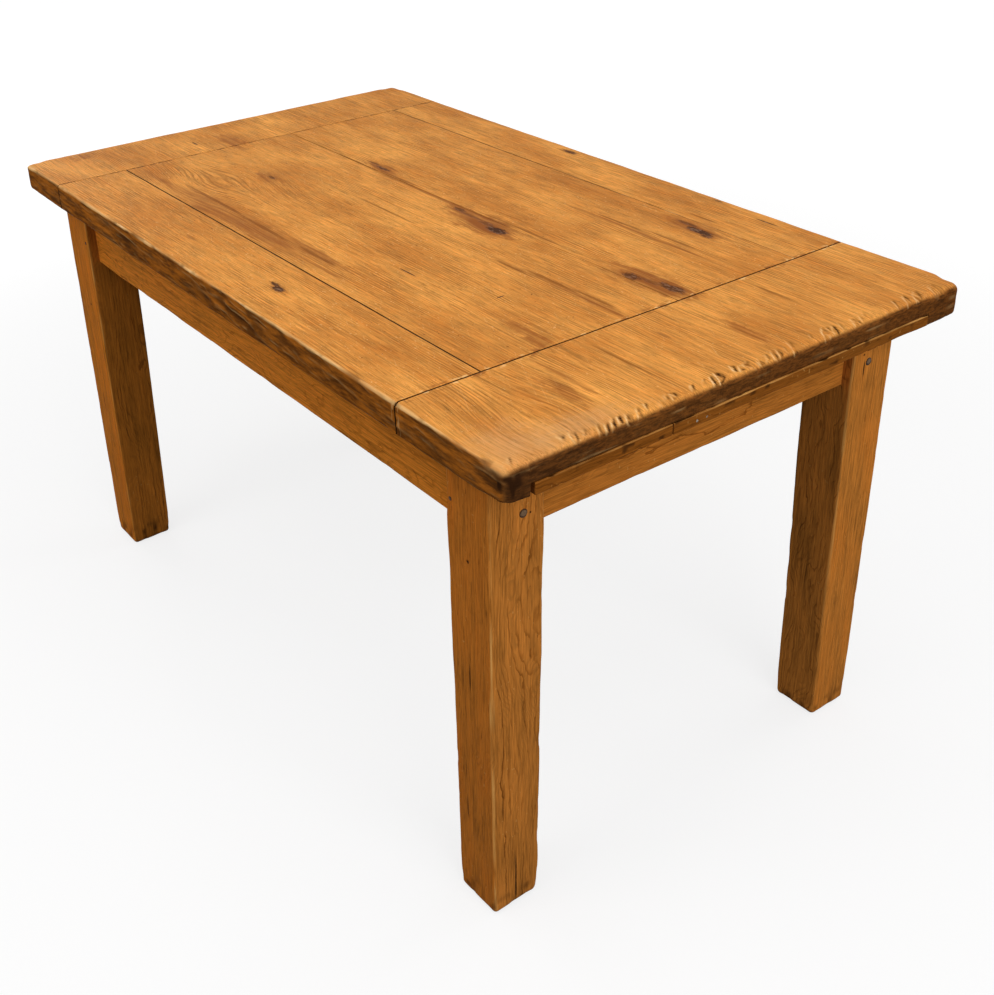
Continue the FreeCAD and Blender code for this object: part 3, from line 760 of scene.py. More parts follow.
class Finish:
    """A material being built: each method adds a node and gives back what comes out of it."""

    def __init__(self, name):
        self.material = bpy.data.materials.new(name)
        self.material.use_nodes = True
        self.tree = self.material.node_tree
        self.shader = self.tree.nodes["Principled BSDF"]
        self.place = self.tree.nodes.new("ShaderNodeTexCoord").outputs["Object"]
        split = self.node("ShaderNodeSeparateXYZ", Vector=self.place)
        self.x, self.y, self.z = (Field(self, socket) for socket in split.outputs)
        self.colour = None

    def feed(self, socket, value):
        """Links a field or an output to a socket, or sets the socket to a constant."""
        value = value.socket if isinstance(value, Field) else value
        if isinstance(value, bpy.types.NodeSocket):
            self.tree.links.new(value, socket)
        else:
            socket.default_value = value

    def node(self, kind, **inputs):
        """A node of a kind, with its named inputs fed."""
        node = self.tree.nodes.new(kind)
        for name, value in inputs.items():
            self.feed(node.inputs[name.replace("_", " ")], value)
        return node

    def math(self, operation, *values):
        """One Math node."""
        node = self.tree.nodes.new("ShaderNodeMath")
        node.operation = operation
        for socket, value in zip(node.inputs, values):
            self.feed(socket, value)
        return Field(self, node.outputs[0])

    def most(self, first, *others):
        """The largest of some fields at each place."""
        for other in others:
            first = self.math("MAXIMUM", first, other)
        return first

    def vector(self, x, y, z):
        """Three fields as one vector."""
        return self.node("ShaderNodeCombineXYZ", X=x, Y=y, Z=z).outputs[0]

    def ease(self, value, start, end):
        """0 before start, 1 after end, a smooth rise between; start may be above end."""
        node = self.tree.nodes.new("ShaderNodeMapRange")
        node.interpolation_type = "SMOOTHSTEP"
        for socket, given in zip(node.inputs, (value, min(start, end), max(start, end))):
            self.feed(socket, given)
        rise = Field(self, node.outputs[0])
        return rise if start < end else 1 - rise

    def noise(self, size, seed, detail=2.0, roughness=0.5, at=None):
        """Noise about 0.5 whose patches measure size along x, y and z."""
        shift = tuple(seed * step for step in (7.31, 3.77, 5.13))
        mapped = self.node("ShaderNodeMapping", Vector=at or self.place, Location=shift,
                           Scale=tuple(1 / length for length in size)).outputs[0]
        texture = self.node("ShaderNodeTexNoise", Vector=mapped, Scale=1.0, Detail=detail,
                            Roughness=roughness)
        return Field(self, texture.outputs[0])

    def mark(self, name):
        """A worn-surface value that the mesh carries."""
        node = self.tree.nodes.new("ShaderNodeAttribute")
        node.attribute_name = name
        return Field(self, node.outputs["Fac"])

    def mix(self, share, first, second):
        """From one colour to another by a share from 0 to 1."""
        node = self.tree.nodes.new("ShaderNodeMix")
        node.data_type = "RGBA"
        for index, value in ((0, share), (6, first), (7, second)):
            self.feed(node.inputs[index], value)
        return node.outputs[2]

    def coat(self, share, tint):
        """Lays a colour over what is there already, by a share from 0 to 1."""
        self.colour = self.mix(share, self.colour, tint)

    def shade(self, colour, share):
        """A colour times a number field."""
        scale = self.node("ShaderNodeVectorMath")
        scale.operation = "SCALE"
        self.feed(scale.inputs[0], colour)
        self.feed(scale.inputs["Scale"], share)
        return scale.outputs[0]

    def done(self, roughness, height, gloss):
        """Wires the coats, roughness and a height in millimetres to the shader; sets its gloss."""
        bump = self.node("ShaderNodeBump", Strength=1.0, Distance=0.001, Height=height)
        self.feed(self.shader.inputs["Base Color"], self.colour)
        self.feed(self.shader.inputs["Roughness"], roughness)
        self.feed(self.shader.inputs["Normal"], bump.outputs[0])
        self.shader.inputs["Specular IOR Level"].default_value = gloss
        return self.material


def dress(node, finish):
    """Gives a worn piece its finish."""
    pieces[node].data.materials.append(finish)


def paint(red, green, blue):
    """A colour as a picture file writes it, 0 to 255, in the linear values that shaders use."""
    parts = np.array([red, green, blue]) / 255
    linear = np.where(parts <= 0.04045, parts / 12.92, ((parts + 0.055) / 1.055) ** 2.4)
    return tuple(float(part) for part in linear) + (1.0,)


print("honey pine is", [round(part, 3) for part in paint(204, 138, 62)[:3]], "in linear light")

# %% [markdown]
# ## How pine grows
# A pine's year has a pale soft spring band and a thin dark summer line. Sawn lengthways these
# rings become the grain. So the grain is worked out as the tree made it: the distance from the
# heart of the trunk, divided into rings. The heart wanders a little along the trunk, which
# draws the pointed arches that flat-sawn boards show. Around a knot the lines spread apart.


# %% Rings, scratches and spots
def spread_round(finish, across, along, knots):
    """Where the grain seems to lie: near each knot the lines are pushed away from its middle,
    by a bell curve of the distance."""
    moved = across
    for knot_along, knot_across, long_half, wide_half, strength in knots:
        u = (along - knot_along) / (2.2 * long_half)
        v = (across - knot_across) / (2.6 * wide_half)
        bell = finish.math("EXPONENT", (u * u + v * v) * -1.0)
        moved = moved - (across - knot_across) * bell * (0.85 * strength)
    return moved


def dark_lines(finish, years, shape):
    """A dark line to each whole number: the fractional part rises slowly and drops sharply."""
    part = finish.math("FRACT", years)
    return finish.ease(part, shape[0], shape[1]) * finish.ease(part, 1.0, shape[2])


def year_rings(finish, first, second, heart, spacing, seed, waver=0.0, shape=(0.25, 0.85, 0.88)):
    """Darkness of the summer wood: a dark line wherever the distance from the heart, over the
    spacing, is a whole number; some years are darker than others."""
    u, v = first - heart[0], second - heart[1]
    distance = finish.math("SQRT", u * u + v * v)
    years = distance / spacing + finish.noise((0.16, 0.16, 0.16), seed, 3.0) * 1.6 + waver
    year = finish.math("FLOOR", years)
    draw = finish.tree.nodes.new("ShaderNodeTexWhiteNoise")
    draw.noise_dimensions = "1D"
    finish.feed(draw.inputs["W"], year + seed)
    return dark_lines(finish, years, shape) * (Field(finish, draw.outputs["Value"]) * 0.8 + 0.2)


def scratches(finish, slope, seed):
    """Thin stray lines: noise drawn out along a slanting way over the face, where it peaks."""
    along = finish.x + finish.y * slope
    beside = finish.y - finish.x * slope
    lay = finish.vector(along, beside, finish.z)
    return finish.ease(finish.noise((0.05, 0.0013, 0.02), seed, 1.0, 0.5, lay), 0.70, 0.78)


def spot_reach(finish, along, across, spot, seed):
    """How far out of a spot a place lies, 1 at its rim: an ellipse whose rim noise has gnawed."""
    spot_along, spot_across, long_half, wide_half = spot
    u, v = (along - spot_along) / long_half, (across - spot_across) / wide_half
    reach = finish.math("SQRT", u * u + v * v)
    ragged = finish.noise((long_half * 0.42, wide_half * 0.5, 0.05), seed, 4.0, 0.65) - 0.5
    return reach + ragged * 2.0


def patch(finish, along, across, spot, seed):
    """A soft-edged ragged spot, 1 in its middle."""
    return finish.ease(spot_reach(finish, along, across, spot, seed), 1.10, 0.40)


print("a spot's rim lies at a reach of 1; a patch fades from 0.40 to 1.10 of it")

# %% [markdown]
# ## The top's wood
# The top is pale pine under a century of wax. Its finish is built as a grainer paints a board,
# one coat over another. First comes the wood itself: honey with darker clouds, the years, fine
# lines side by side, flecks and pits, and stray scratches that show pale. A spot is a row of a
# table, in millimetres: where its middle lies along and across the table, half its length and
# half its width. A knot also says how strongly it pushes the grain aside.

# %% Old waxed pine of the top
honey_light, honey_deep = paint(216, 149, 72), paint(174, 108, 45)
summer_line, bare_pine_and_highlight = paint(122, 68, 24), paint(236, 190, 126)
ring_spacing, hatch_spacing, heart_below = 0.0052, 0.0046, 0.075


def in_metres(rows):
    """Rows of spots with their first four values turned from millimetres into metres."""
    return [tuple(value / 1000 for value in row[:4]) + tuple(row[4:]) for row in rows]


knots = in_metres([
    (118, 41, 20, 9, 1.0), (12, 52, 14, 6, 0.8), (308, 279, 34, 10, 1.0), (385, 74, 20, 7, 0.8),
    (452, 85, 18, 6, 0.8), (-253, 77, 18, 8, 0.7), (-376, -172, 45, 30, 0.9),
    (-335, -98, 14, 6, 0.6), (-105, 386, 18, 8, 0.7), (640, -300, 40, 30, 0.7),
])
arched = in_metres([
    (430, -165, 110, 60), (600, -270, 85, 75), (-376, -172, 75, 50), (420, 80, 80, 40),
    (310, 280, 70, 30), (90, 50, 90, 35),
])


def near_board(spots, box, margin):
    """The spots of a table that can touch a board, each with its number in the table."""
    low, high = box
    return [(number, spot) for number, spot in enumerate(spots)
            if low[0] - margin < spot[0] < high[0] + margin
            and low[1] - margin < spot[1] < high[1] + margin]


def top_grain(f, box, seed):
    """Lays the wood's colour with its years, lines, flecks and pits. Gives by name the fields
    that later coats and the relief read."""
    low, high = box
    wander = (f.noise((0.50, 0.10, 0.10), seed, 2.0) - 0.5) * 0.022
    turned = [spot for _, spot in near_board(knots, box, 0.05)]
    across = spread_round(f, f.y + wander, f.x, turned)
    lay = f.vector(f.x, across, f.z)
    heart_depth = (f.noise((0.9, 0.5, 0.5), seed + 20, 2.0) - 0.5) * 0.05
    heart = ((low[1] + high[1]) / 2 + 0.02 * math.sin(7.0 * seed), top_face - heart_below)
    arches = f.ease(f.noise((0.30, 0.07, 0.3), seed + 8, 2.0), 0.50, 0.68) * 0.6
    for number, spot in near_board(arched, box, 0.1):
        arches = f.most(arches, patch(f, f.x, f.y, spot, seed + 90 + number))
    rings = year_rings(f, across, f.z + heart_depth, heart, ring_spacing, seed) * arches
    coarse = f.noise((0.22, 0.0055, 0.0055), seed + 1, 4.0, 0.62, lay)
    fine = f.noise((0.05, 0.0019, 0.0019), seed + 2, 3.0, 0.68, lay)
    streak = f.ease(f.noise((0.085, 0.0026, 0.0026), seed + 9, 3.0, 0.65, lay), 0.56, 0.74)
    fleck = f.ease(f.noise((0.016, 0.0011, 0.0011), seed + 3, 1.0, 0.5, lay), 0.66, 0.76)
    cloud = f.noise((0.20, 0.09, 0.2), seed + 4, 4.0, 0.55)
    mottle = f.noise((0.030, 0.016, 0.03), seed + 5, 4.0, 0.62)
    rows = across / hatch_spacing + f.noise((0.6, 0.03, 0.03), seed + 17, 3.0) * 2.4
    gate = f.ease(f.noise((0.17, 0.03, 0.1), seed + 18, 3.0, 0.6), 0.46, 0.62)
    hatch = dark_lines(f, rows, (0.35, 0.85, 0.90)) * gate
    dust = f.ease(f.noise((0.0046, 0.0024, 0.003), seed + 19, 0.0), 0.76, 0.83)
    pits = f.ease(f.noise((0.0042, 0.0028, 0.003), seed + 10, 0.0), 0.79, 0.85)
    pits = pits * f.ease(cloud, 0.40, 0.60)
    clouded = f.ease(cloud * 0.6 + coarse * 0.3 + mottle * 0.3, 0.42, 0.80)
    f.colour = f.mix(clouded, honey_light, honey_deep)
    f.coat(f.most(rings * 0.55, hatch * 0.54), summer_line)
    f.coat(streak * f.ease(mottle, 0.32, 0.62) * 0.75, summer_line)
    f.coat(f.most(fleck * 0.75, pits * 0.85), summer_line)
    f.colour = f.shade(f.colour, fine * 1.75 + mottle * 1.05 + coarse * 0.70 - 0.69)
    stray = f.most(scratches(f, 0.9, seed + 11), scratches(f, -0.5, seed + 12))
    f.coat(f.most(stray * 0.28, dust * 0.38), bare_pine_and_highlight)
    return {"rings": rings, "coarse": coarse, "fine": fine, "mottle": mottle, "pits": pits}


print(len(knots), "knots turn the grain of the top;", len(arched), "places show arches")

# %% [markdown]
# ## Knots, stains and cuts
# Over the wood lies what happened to it. A knot has a dark core in a brown haze, wax and wet
# have darkened some places, a blade has slipped here and there, and the rubbed near corner has
# a pale grey painted sheen. Each is a row like those of the knots above, and a core has its
# darkness as well.

# %% Spots on the top
stain_brown, rubbed_sheen_grey = paint(140, 80, 34), paint(198, 154, 108)
knot_brown, knot_grey = paint(56, 34, 23), paint(112, 84, 66)
knot_cores = in_metres([
    (122, 40, 21, 9, 1.0), (90, 46, 20, 5, 0.5), (45, 49, 30, 3.6, 0.4), (8, 53, 13, 5, 0.7),
    (326, 274, 25, 7.4, 1.0), (290, 284, 20, 4.2, 0.6), (348, 266, 10, 4, 0.8),
    (388, 73, 15, 8, 0.8), (420, 80, 20, 5, 0.4), (456, 87, 22, 8, 0.85), (-250, 77, 20, 4.2, 0.8),
    (-285, 82, 14, 3, 0.5), (-335, -98, 10, 3.6, 0.6), (-105, 386, 15, 5, 0.9),
    (104, -338, 13, 6.2, 1.0), (86, -333, 10, 3.2, 0.9), (-160, -341, 14, 3, 0.3),
    (560, -30, 12, 2.6, 0.3),
])
streaks = in_metres([
    (160, 73, 105, 2.8), (250, -36, 50, 3.4), (330, -25, 55, 3.8), (415, -20, 45, 3.6),
    (220, 208, 60, 2.6), (330, 216, 55, 2.6), (289, 320, 32, 2.8), (-290, -230, 100, 4),
    (-120, -233, 80, 4.6), (30, -230, 70, 4), (-320, 63, 60, 2.6), (-190, 68, 65, 2.6),
    (580, -120, 60, 2.6), (-60, -40, 70, 2.2), (560, 180, 55, 2.6),
])
cuts = in_metres([
    (172, -162.5, 22, 1.4), (327, -115, 1.6, 7), (366, 380, 24, 1.7), (-607, -109, 12, 1.8),
    (250, 395, 10, 1.6),
])
stains = in_metres([
    (70, 46, 95, 30), (110, 36, 55, 24), (318, 277, 70, 20), (420, 82, 85, 26), (470, 90, 50, 14),
    (-190, -246, 310, 30), (472, -166, 34, 18), (430, -160, 50, 12), (-565, -50, 70, 20),
    (-672, -305, 22, 26), (-335, -100, 50, 20), (590, -230, 60, 16), (440, -30, 60, 8),
    (-60, 60, 300, 5), (425, 82, 70, 20), (280, 200, 240, 5), (560, -205, 80, 6),
    (345, -30, 150, 5), (-250, 78, 60, 16), (620, 60, 50, 12), (20, -225, 120, 12),
    (395, 76, 85, 36), (440, 84, 60, 28), (95, 40, 70, 38), (300, 280, 60, 26), (10, 54, 45, 20),
])
rubbed_sheen_spots = in_metres([(662, -362, 50, 60), (668, -270, 22, 70)])


def top_spots(f, grain, box, seed):
    """Lays stains, streaks, knots, cuts and the painted sheen of the rubbed corner over the wood.
    Gives how much of a dark core or cut each place is, from 0 to 1."""
    for number, spot in near_board(stains, box, 0.1):
        soft = patch(f, f.x, f.y, spot, seed + 30 + number)
        along_grain = f.ease(grain["coarse"], 0.36, 0.62) * 0.60
        f.coat(soft * (0.24 + along_grain), stain_brown)
    for number, spot in near_board(streaks, box, 0.05):
        reach = spot_reach(f, f.x, f.y, spot, seed + 120 + number)
        f.coat(f.ease(reach, 1.3, 0.5) * 0.7, summer_line)
    cores = 0.0
    for number, (*spot, darkness) in near_board(knot_cores, box, 0.02):
        reach = spot_reach(f, f.x, f.y, spot, seed + 60 + number)
        f.coat(f.ease(reach, 2.2, 0.7) * (0.2 + 0.35 * darkness), stain_brown)
        cores = f.most(f.ease(reach, 1.25, 0.75) * darkness, cores)
    for _, (cut_x, cut_y, long_half, wide_half) in near_board(cuts, box, 0.02):
        u, v = (f.x - cut_x) / long_half, (f.y - cut_y) / wide_half
        cores = f.most(f.ease(u * u + v * v, 1.2, 0.5), cores)
    worn = f.ease(f.noise((0.010, 0.004, 0.01), seed + 22, 2.0), 0.52, 0.66)
    f.coat(cores * 0.9, f.mix(worn, knot_brown, knot_grey))
    # The rubbed near corner gets a pale grey painted sheen.
    for number, spot in near_board(rubbed_sheen_spots, box, 0.0):
        reach = spot_reach(f, f.x, f.y, spot, seed + 150 + number)
        f.coat(f.ease(reach, 1.7, 0.0) * (grain["fine"] * 0.9 - 0.1), rubbed_sheen_grey)
    return cores


print(len(knot_cores), "dark cores,", len(streaks), "streaks and", len(stains), "stains")

# %% [markdown]
# ## Edges and joints
# The long edges are rough and dark, and the end grain is porous and darker still. Two boards
# meet in a thin line of dirt: sharp at the right end, where it has splintered, ragged and
# half filled at the left, and fading along the back board.

# %% Edges, joint lines and splinters
edge_light, edge_deep = paint(172, 98, 26), paint(88, 46, 12)
end_brown, end_deep = paint(110, 62, 24), paint(58, 30, 12)
joint_half = 0.0019
front_joint, back_joint = node_box("top_board_front")[1][1], node_box("top_board_back")[0][1]


def top_edges(f, grain, seed):
    """Lays rough long edges and porous end grain, and gives their relief in millimetres."""
    sawn, end_grain = f.mark("sawn_edge"), f.mark("end_grain")
    lumps = f.noise((0.045, 0.02, 0.008), seed + 13, 4.0, 0.65)
    edge = f.mix(f.ease(lumps, 0.35, 0.65), edge_light, edge_deep)
    edge = f.shade(edge, 0.55 + grain["coarse"] * 0.45 + grain["fine"] * 0.45)
    f.coat(sawn * 0.92, edge)
    pores = f.noise((0.004, 0.010, 0.002), seed + 6, 3.0, 0.7)
    dark_end = f.mix(f.ease(pores, 0.35, 0.65), end_brown, end_deep)
    f.coat(end_grain * 0.92, dark_end)
    return pores * end_grain * 0.8 + lumps * sawn


def joint_line(f, distance, strength):
    """A thin dark line where two boards meet, as strong as a field says."""
    return f.ease(f.math("ABSOLUTE", distance), joint_half, joint_half * 0.4) * strength


def top_joints(f, seed):
    """How dark each place is with the dirt of a joint: the strongest of the four lines there."""
    broken = f.noise((0.03, 0.035, 0.03), seed + 7, 2.0)
    ragged = (f.noise((0.03, 0.012, 0.03), seed + 15, 3.0, 0.6) - 0.5) * 0.014
    right = joint_line(f, f.x - right_joint, 0.95)
    left = joint_line(f, f.x - left_joint + ragged, f.ease(broken, 0.38, 0.58) * 0.85)
    front = joint_line(f, f.y - front_joint, 0.95)
    back = joint_line(f, f.y - back_joint, f.ease(f.x, 0.45, -0.2) * 0.6)
    between = f.ease(f.x, left_joint - 0.002, left_joint)
    between = between * f.ease(f.x, right_joint + 0.002, right_joint)
    return f.most(f.most(front, back) * between, left, right)


def splinters(f, size, seed, gate, reach, tint, share):
    """Lays small broken places beside the right joint: noise where it peaks, fading with
    distance."""
    chips = f.ease(f.noise(size, seed, 2.0, 0.6), *gate)
    chips = chips * f.ease(f.math("ABSOLUTE", f.x - right_joint), *reach)
    f.coat(chips * share, tint)


print("front joint at y", round(front_joint, 3), "and back joint at y", round(back_joint, 3))

# %% [markdown]
# ## The coats together
# Last come bare wood on the rubbed arrises and grime in the hollows, where the marks that the
# worn meshes carry say so; these marks also carry painted highlights on lit flanks, gouge lips and
# arrises, and painted shade on shaded flanks and downward faces. The relief is the same fields
# again, as heights. The waxed face is smoother than the dirty edges.

# %% The top's finish
grime_and_shade_brown, chip_highlight = paint(50, 28, 13), paint(240, 218, 190)
top_gloss = 0.012


def top_pine(node, seed):
    """The finish of one board: its own heart and years, with the spots that it has."""
    box = node_box(node)
    f = Finish("honey_pine_" + node)
    grain = top_grain(f, box, seed)
    cores = top_spots(f, grain, box, seed)
    relief = top_edges(f, grain, seed)
    splinters(f, (0.010, 0.022, 0.03), seed + 14, (0.55, 0.65), (0.014, 0.002), stain_brown, 0.75)
    splinters(f, (0.008, 0.016, 0.03), seed + 16, (0.59, 0.67), (0.010, 0.001), bare_pine_and_highlight, 0.8)
    lines, grime_and_shade, bare_and_highlight = top_joints(f, seed), f.mark("grime_and_shade"), f.mark("bare_and_highlight")
    # The bare mark lays rubbed wood and painted highlights, and its palest places, mostly the lit
    # flanks of the nicks, get a near-white painted highlight. The grime mark lays dirt and painted
    # shade.
    f.coat(bare_and_highlight * 0.80, bare_pine_and_highlight)
    f.coat(f.ease(bare_and_highlight, 0.85, 1.0) * 0.40, chip_highlight)
    f.coat(grime_and_shade, grime_and_shade_brown)
    f.coat(lines, grime_and_shade_brown)
    height = grain["fine"] * 0.14 + grain["coarse"] * 0.12 + grain["mottle"] * 0.25
    height = height - grain["rings"] * 0.08 - grain["pits"] * 0.15
    height = height + relief - cores * 0.5 - lines * 0.4
    dull = f.most(f.mark("sawn_edge"), f.mark("end_grain"), grime_and_shade)
    return f.done(0.36 + grain["mottle"] * 0.20 + dull * 0.30, height, top_gloss)


board_seeds = {"top_board_front": 1, "top_board_middle_wide": 2, "top_board_middle_narrow": 2,
               "top_board_back": 4, "end_board_left": 5, "end_board_right": 6}
for node, seed in board_seeds.items():
    dress(node, top_pine(node, seed))
    print(node, "has", len(pieces[node].data.materials[0].node_tree.nodes), "nodes in its finish")

# %% [markdown]
# ## Stained pine
# The frame was stained darker than the top, an orange brown, and shows more of its years on
# some faces than on others. The grain runs up a leg and along a rail, so the same formula is
# used with its axes changed round. Splits run with the grain.

# %% Stained pine of the frame
frame_line, split_brown, bare_frame_and_highlight = paint(92, 50, 13), paint(40, 22, 10), paint(224, 168, 94)
frame_gloss, frame_hatch = 0.006, 0.0040


def frame_pine(name, run, heart, seed, spacing, tones, splits=(), eyes=()):
    """Stained pine with the grain along one axis, its rings about a heart in the other two."""
    f = Finish(name)
    axes = [f.x, f.y, f.z]
    first, second = [axes[i] for i in range(3) if i != run]

    def drawn(long, wide, number, *detail):
        """Noise drawn out along the grain."""
        return f.noise(tuple(long if i == run else wide for i in range(3)), seed + number, *detail)

    sway = (drawn(0.22, 0.08, 0, 2.0) - 0.5) * 0.045
    sway = sway + (drawn(0.05, 0.03, 7, 2.0) - 0.5) * 0.009
    waver = drawn(0.035, 0.010, 8, 3.0) * 1.5
    coarse = drawn(0.16, 0.006, 1, 4.0, 0.62)
    broken = f.ease(drawn(0.06, 0.012, 9, 2.0), 0.34, 0.56)
    bent = spread_round(f, second + sway, axes[run], eyes)
    rings = year_rings(f, first + sway, bent, heart, spacing, seed, waver, (0.58, 0.90, 0.93))
    rings = rings * (broken * 0.7 + 0.3)
    rows = (first + sway + bent) / frame_hatch + drawn(0.5, 0.03, 17, 3.0) * 2.0
    hatch = dark_lines(f, rows, (0.30, 0.80, 0.88))
    hatch = hatch * f.ease(drawn(0.15, 0.024, 18, 3.0, 0.6), 0.42, 0.60)
    figure = f.mark("figure")
    fine = drawn(0.05, 0.0016, 2, 3.0, 0.65)
    cloud = drawn(0.16, 0.06, 3, 4.0, 0.58)
    fleck = f.ease(drawn(0.018, 0.0014, 4, 1.0), 0.64, 0.74)
    f.colour = f.mix(f.ease(cloud * 0.7 + coarse * 0.5, 0.42, 0.80), tones[0], tones[1])
    grain = f.most(rings * (figure * 0.78 + 0.20), hatch * (figure * 0.30 + 0.16))
    f.coat(grain, frame_line)
    f.coat(fleck * 0.5, frame_line)
    f.coat(figure * (1 - rings) * 0.5, tones[2])
    f.colour = f.shade(f.colour, fine * 1.75 + coarse * 1.3 + cloud * 1.5 - 1.25)
    speck = f.ease(f.noise((0.0036, 0.0036, 0.0048), seed + 5, 0.0), 0.77, 0.83)
    speck = speck * f.ease(cloud, 0.4, 0.6)
    f.coat(f.mark("end_grain") * 0.7, end_brown)
    # Besides real wear and dirt, these marks carry the strips' painted highlight along the upper
    # arris and the painted shade on the legs' inner faces.
    bare_and_highlight, grime_and_shade = f.mark("bare_and_highlight"), f.mark("grime_and_shade")
    pale = f.most(bare_and_highlight * f.ease(coarse, 0.3, 0.7) * 0.8, speck * 0.4)
    f.coat(pale, bare_frame_and_highlight)
    f.coat(grime_and_shade, grime_and_shade_brown)
    height = fine * 0.14 + coarse * 0.12 - rings * (figure * 0.10 + 0.03)
    for number, (along, side, beside, half, thin, face) in enumerate(splits):
        outer = f.ease(axes[1 - side] * np.sign(face), abs(face) - 0.006, abs(face) - 0.003)
        split = patch(f, axes[side], f.z, (beside, along, thin, half), seed + 40 + number) * outer
        f.coat(split * 0.95, split_brown)
        height = height - split * 0.8
    return f.done(0.42 + fine * 0.16 + grime_and_shade * 0.2, height, frame_gloss)


print("fine lines lie", frame_hatch * 1000, "mm apart in the frame's grain")

# %% [markdown]
# ## Legs, rails and strip
# No two timbers took the stain alike, so each can have tones of its own: light, deep and the
# pale bands between its years. The front rail's tones are painted lighter, to stand in for light
# that the top's overhang keeps off it. An eye is a place where a hidden knot bends the years of a
# leg.
# A split is a row in metres: its height, the axis across it and its place there, half its
# length, half its width and the face that it opens on.

# %% Finishes of legs, rails and strip
frame_tones = (paint(199, 120, 43), paint(165, 92, 28), paint(202, 136, 62))
leg_tones = {"leg_front_right": (paint(204, 124, 46), paint(172, 97, 31), paint(184, 122, 56)),
             "leg_back_right": (paint(212, 135, 57), paint(184, 110, 41), paint(200, 128, 55)),
             "leg_front_left": (paint(218, 131, 41), paint(184, 102, 26), paint(188, 120, 46))}
# The front rail's tones are painted lighter, to stand in for light that the top's overhang keeps
# off it.
rail_lit_tones = {"rail_front": (paint(228, 136, 42), paint(198, 110, 30), paint(212, 138, 56))}
strip_tones = (paint(148, 84, 26), paint(96, 54, 16), paint(148, 90, 32))
strip_heart = (0.66, 0.70)
leg_years, rail_years, strip_years = 0.0042, 0.0046, 0.004
leg_eyes = {"leg_front_right": in_metres([(500, -305, 50, 22, 1.1), (215, -350, 40, 16, 0.9)]),
            "leg_front_left": in_metres([(330, -320, 45, 18, 1.0)])}
front_face, right_face = -0.370, 0.626
leg_splits = {
    "leg_front_right": [(0.391, 0, 0.581, 0.022, 0.0014, front_face),
                        (0.160, 0, 0.569, 0.020, 0.0012, front_face),
                        (0.572, 0, 0.582, 0.003, 0.0030, front_face),
                        (0.048, 1, -0.332, 0.046, 0.0016, right_face),
                        (0.640, 1, -0.307, 0.0016, 0.0016, right_face)],
    "leg_back_right": [(0.634, 1, 0.309, 0.014, 0.0012, right_face),
                       (0.657, 1, 0.306, 0.002, 0.0020, right_face)],
    "leg_front_left": [(0.310, 0, -0.590, 0.030, 0.0012, front_face),
                       (0.520, 0, -0.575, 0.002, 0.0020, front_face)],
    "leg_back_left": [(0.420, 1, 0.330, 0.035, 0.0014, -right_face),
                      (0.560, 1, 0.300, 0.002, 0.0020, -right_face)],
}
for seed, node in enumerate(figured_faces, 11):
    low, high = node_box(node)
    face = figured_faces[node]
    middle = (low + high) / 2
    heart = [middle[i] - face[i] * 0.03 + (1 - abs(face[i])) * 0.055 for i in (0, 1)]
    tones, eyes = leg_tones.get(node, frame_tones), leg_eyes.get(node, ())
    dress(node, frame_pine("stained_pine_" + node, 2, heart, seed, leg_years, tones,
                           leg_splits[node], eyes))
for seed, (node, (run, inward)) in enumerate(rail_runs.items(), 21):
    low, high = node_box(node)
    heart = [(low[1 - run] + high[1 - run]) / 2 + inward * 0.05, (low[2] + high[2]) / 2 - 0.02]
    tones = rail_lit_tones.get(node, frame_tones)
    dress(node, frame_pine("stained_pine_" + node, run, heart, seed, rail_years, tones))
for seed, node in enumerate(("edge_strip_near", "edge_strip_far"), 31):
    dress(node, frame_pine("strip_pine_" + node, 1, strip_heart, seed, strip_years, strip_tones))
print("finished", len(figured_faces), "legs,", len(rail_runs), "rails and 2 strips")

# %% [markdown]
# ## Pegs, iron and the hidden pieces
# Peg ends are grey with dirt and dark round the rim, with a painted shadow on their lower part.
# The nails and screws are dull iron. What is inside the top, the tongues, pegs and buttons, never
# met wax or light, so it stays pale.

# %% Peg wood, iron and clean pine
peg_bare, peg_grime_and_shade = paint(150, 128, 104), paint(44, 28, 18)


def plain_finish(name, light, deep, grain_size, seed, roughness, metal=0.0):
    """Two tones mixed by drawn-out noise, with marks where the mesh has them."""
    f = Finish(name)
    grain = f.noise(grain_size, seed, 4.0, 0.65)
    f.colour = f.mix(f.ease(grain, 0.3, 0.7), light, deep)
    grime_and_shade, bare_and_highlight = f.mark("grime_and_shade"), f.mark("bare_and_highlight")
    f.coat(bare_and_highlight * 0.6, peg_bare)
    # On a peg's end the grime mark also carries the painted shadow on its lower part.
    f.coat(grime_and_shade, peg_grime_and_shade)
    f.shader.inputs["Metallic"].default_value = metal
    return f.done(roughness + grain * 0.2, grain * 0.15, 0.5 * metal + 0.08)


peg_wood = plain_finish("peg_end_wood", paint(120, 92, 66), paint(84, 58, 36),
                        (0.002, 0.002, 0.004), 41, 0.45)
pin_wood = plain_finish("pin_end_wood", paint(60, 38, 24), paint(36, 22, 14),
                        (0.002, 0.002, 0.002), 42, 0.5)
iron = plain_finish("dull_iron", paint(168, 152, 132), paint(96, 84, 72),
                    (0.003, 0.003, 0.003), 43, 0.35, 0.6)
clean_pine = [plain_finish("clean_pine_" + letter, paint(206, 160, 100), paint(176, 124, 68),
                           tuple(0.09 if i == axis else 0.003 for i in range(3)), 44 + axis, 0.5)
              for axis, letter in enumerate("xyz")]
dress("end_rail_pegs", peg_wood)
dress("long_rail_pins", pin_wood)
dress("edge_strip_nails", iron)
hidden = [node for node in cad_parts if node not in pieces]
for node in hidden:
    low, high = node_box(node)
    finish = iron if "screws" in node else clean_pine[int(np.argmax(high - low))]
    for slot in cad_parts[node].material_slots:
        slot.material = finish
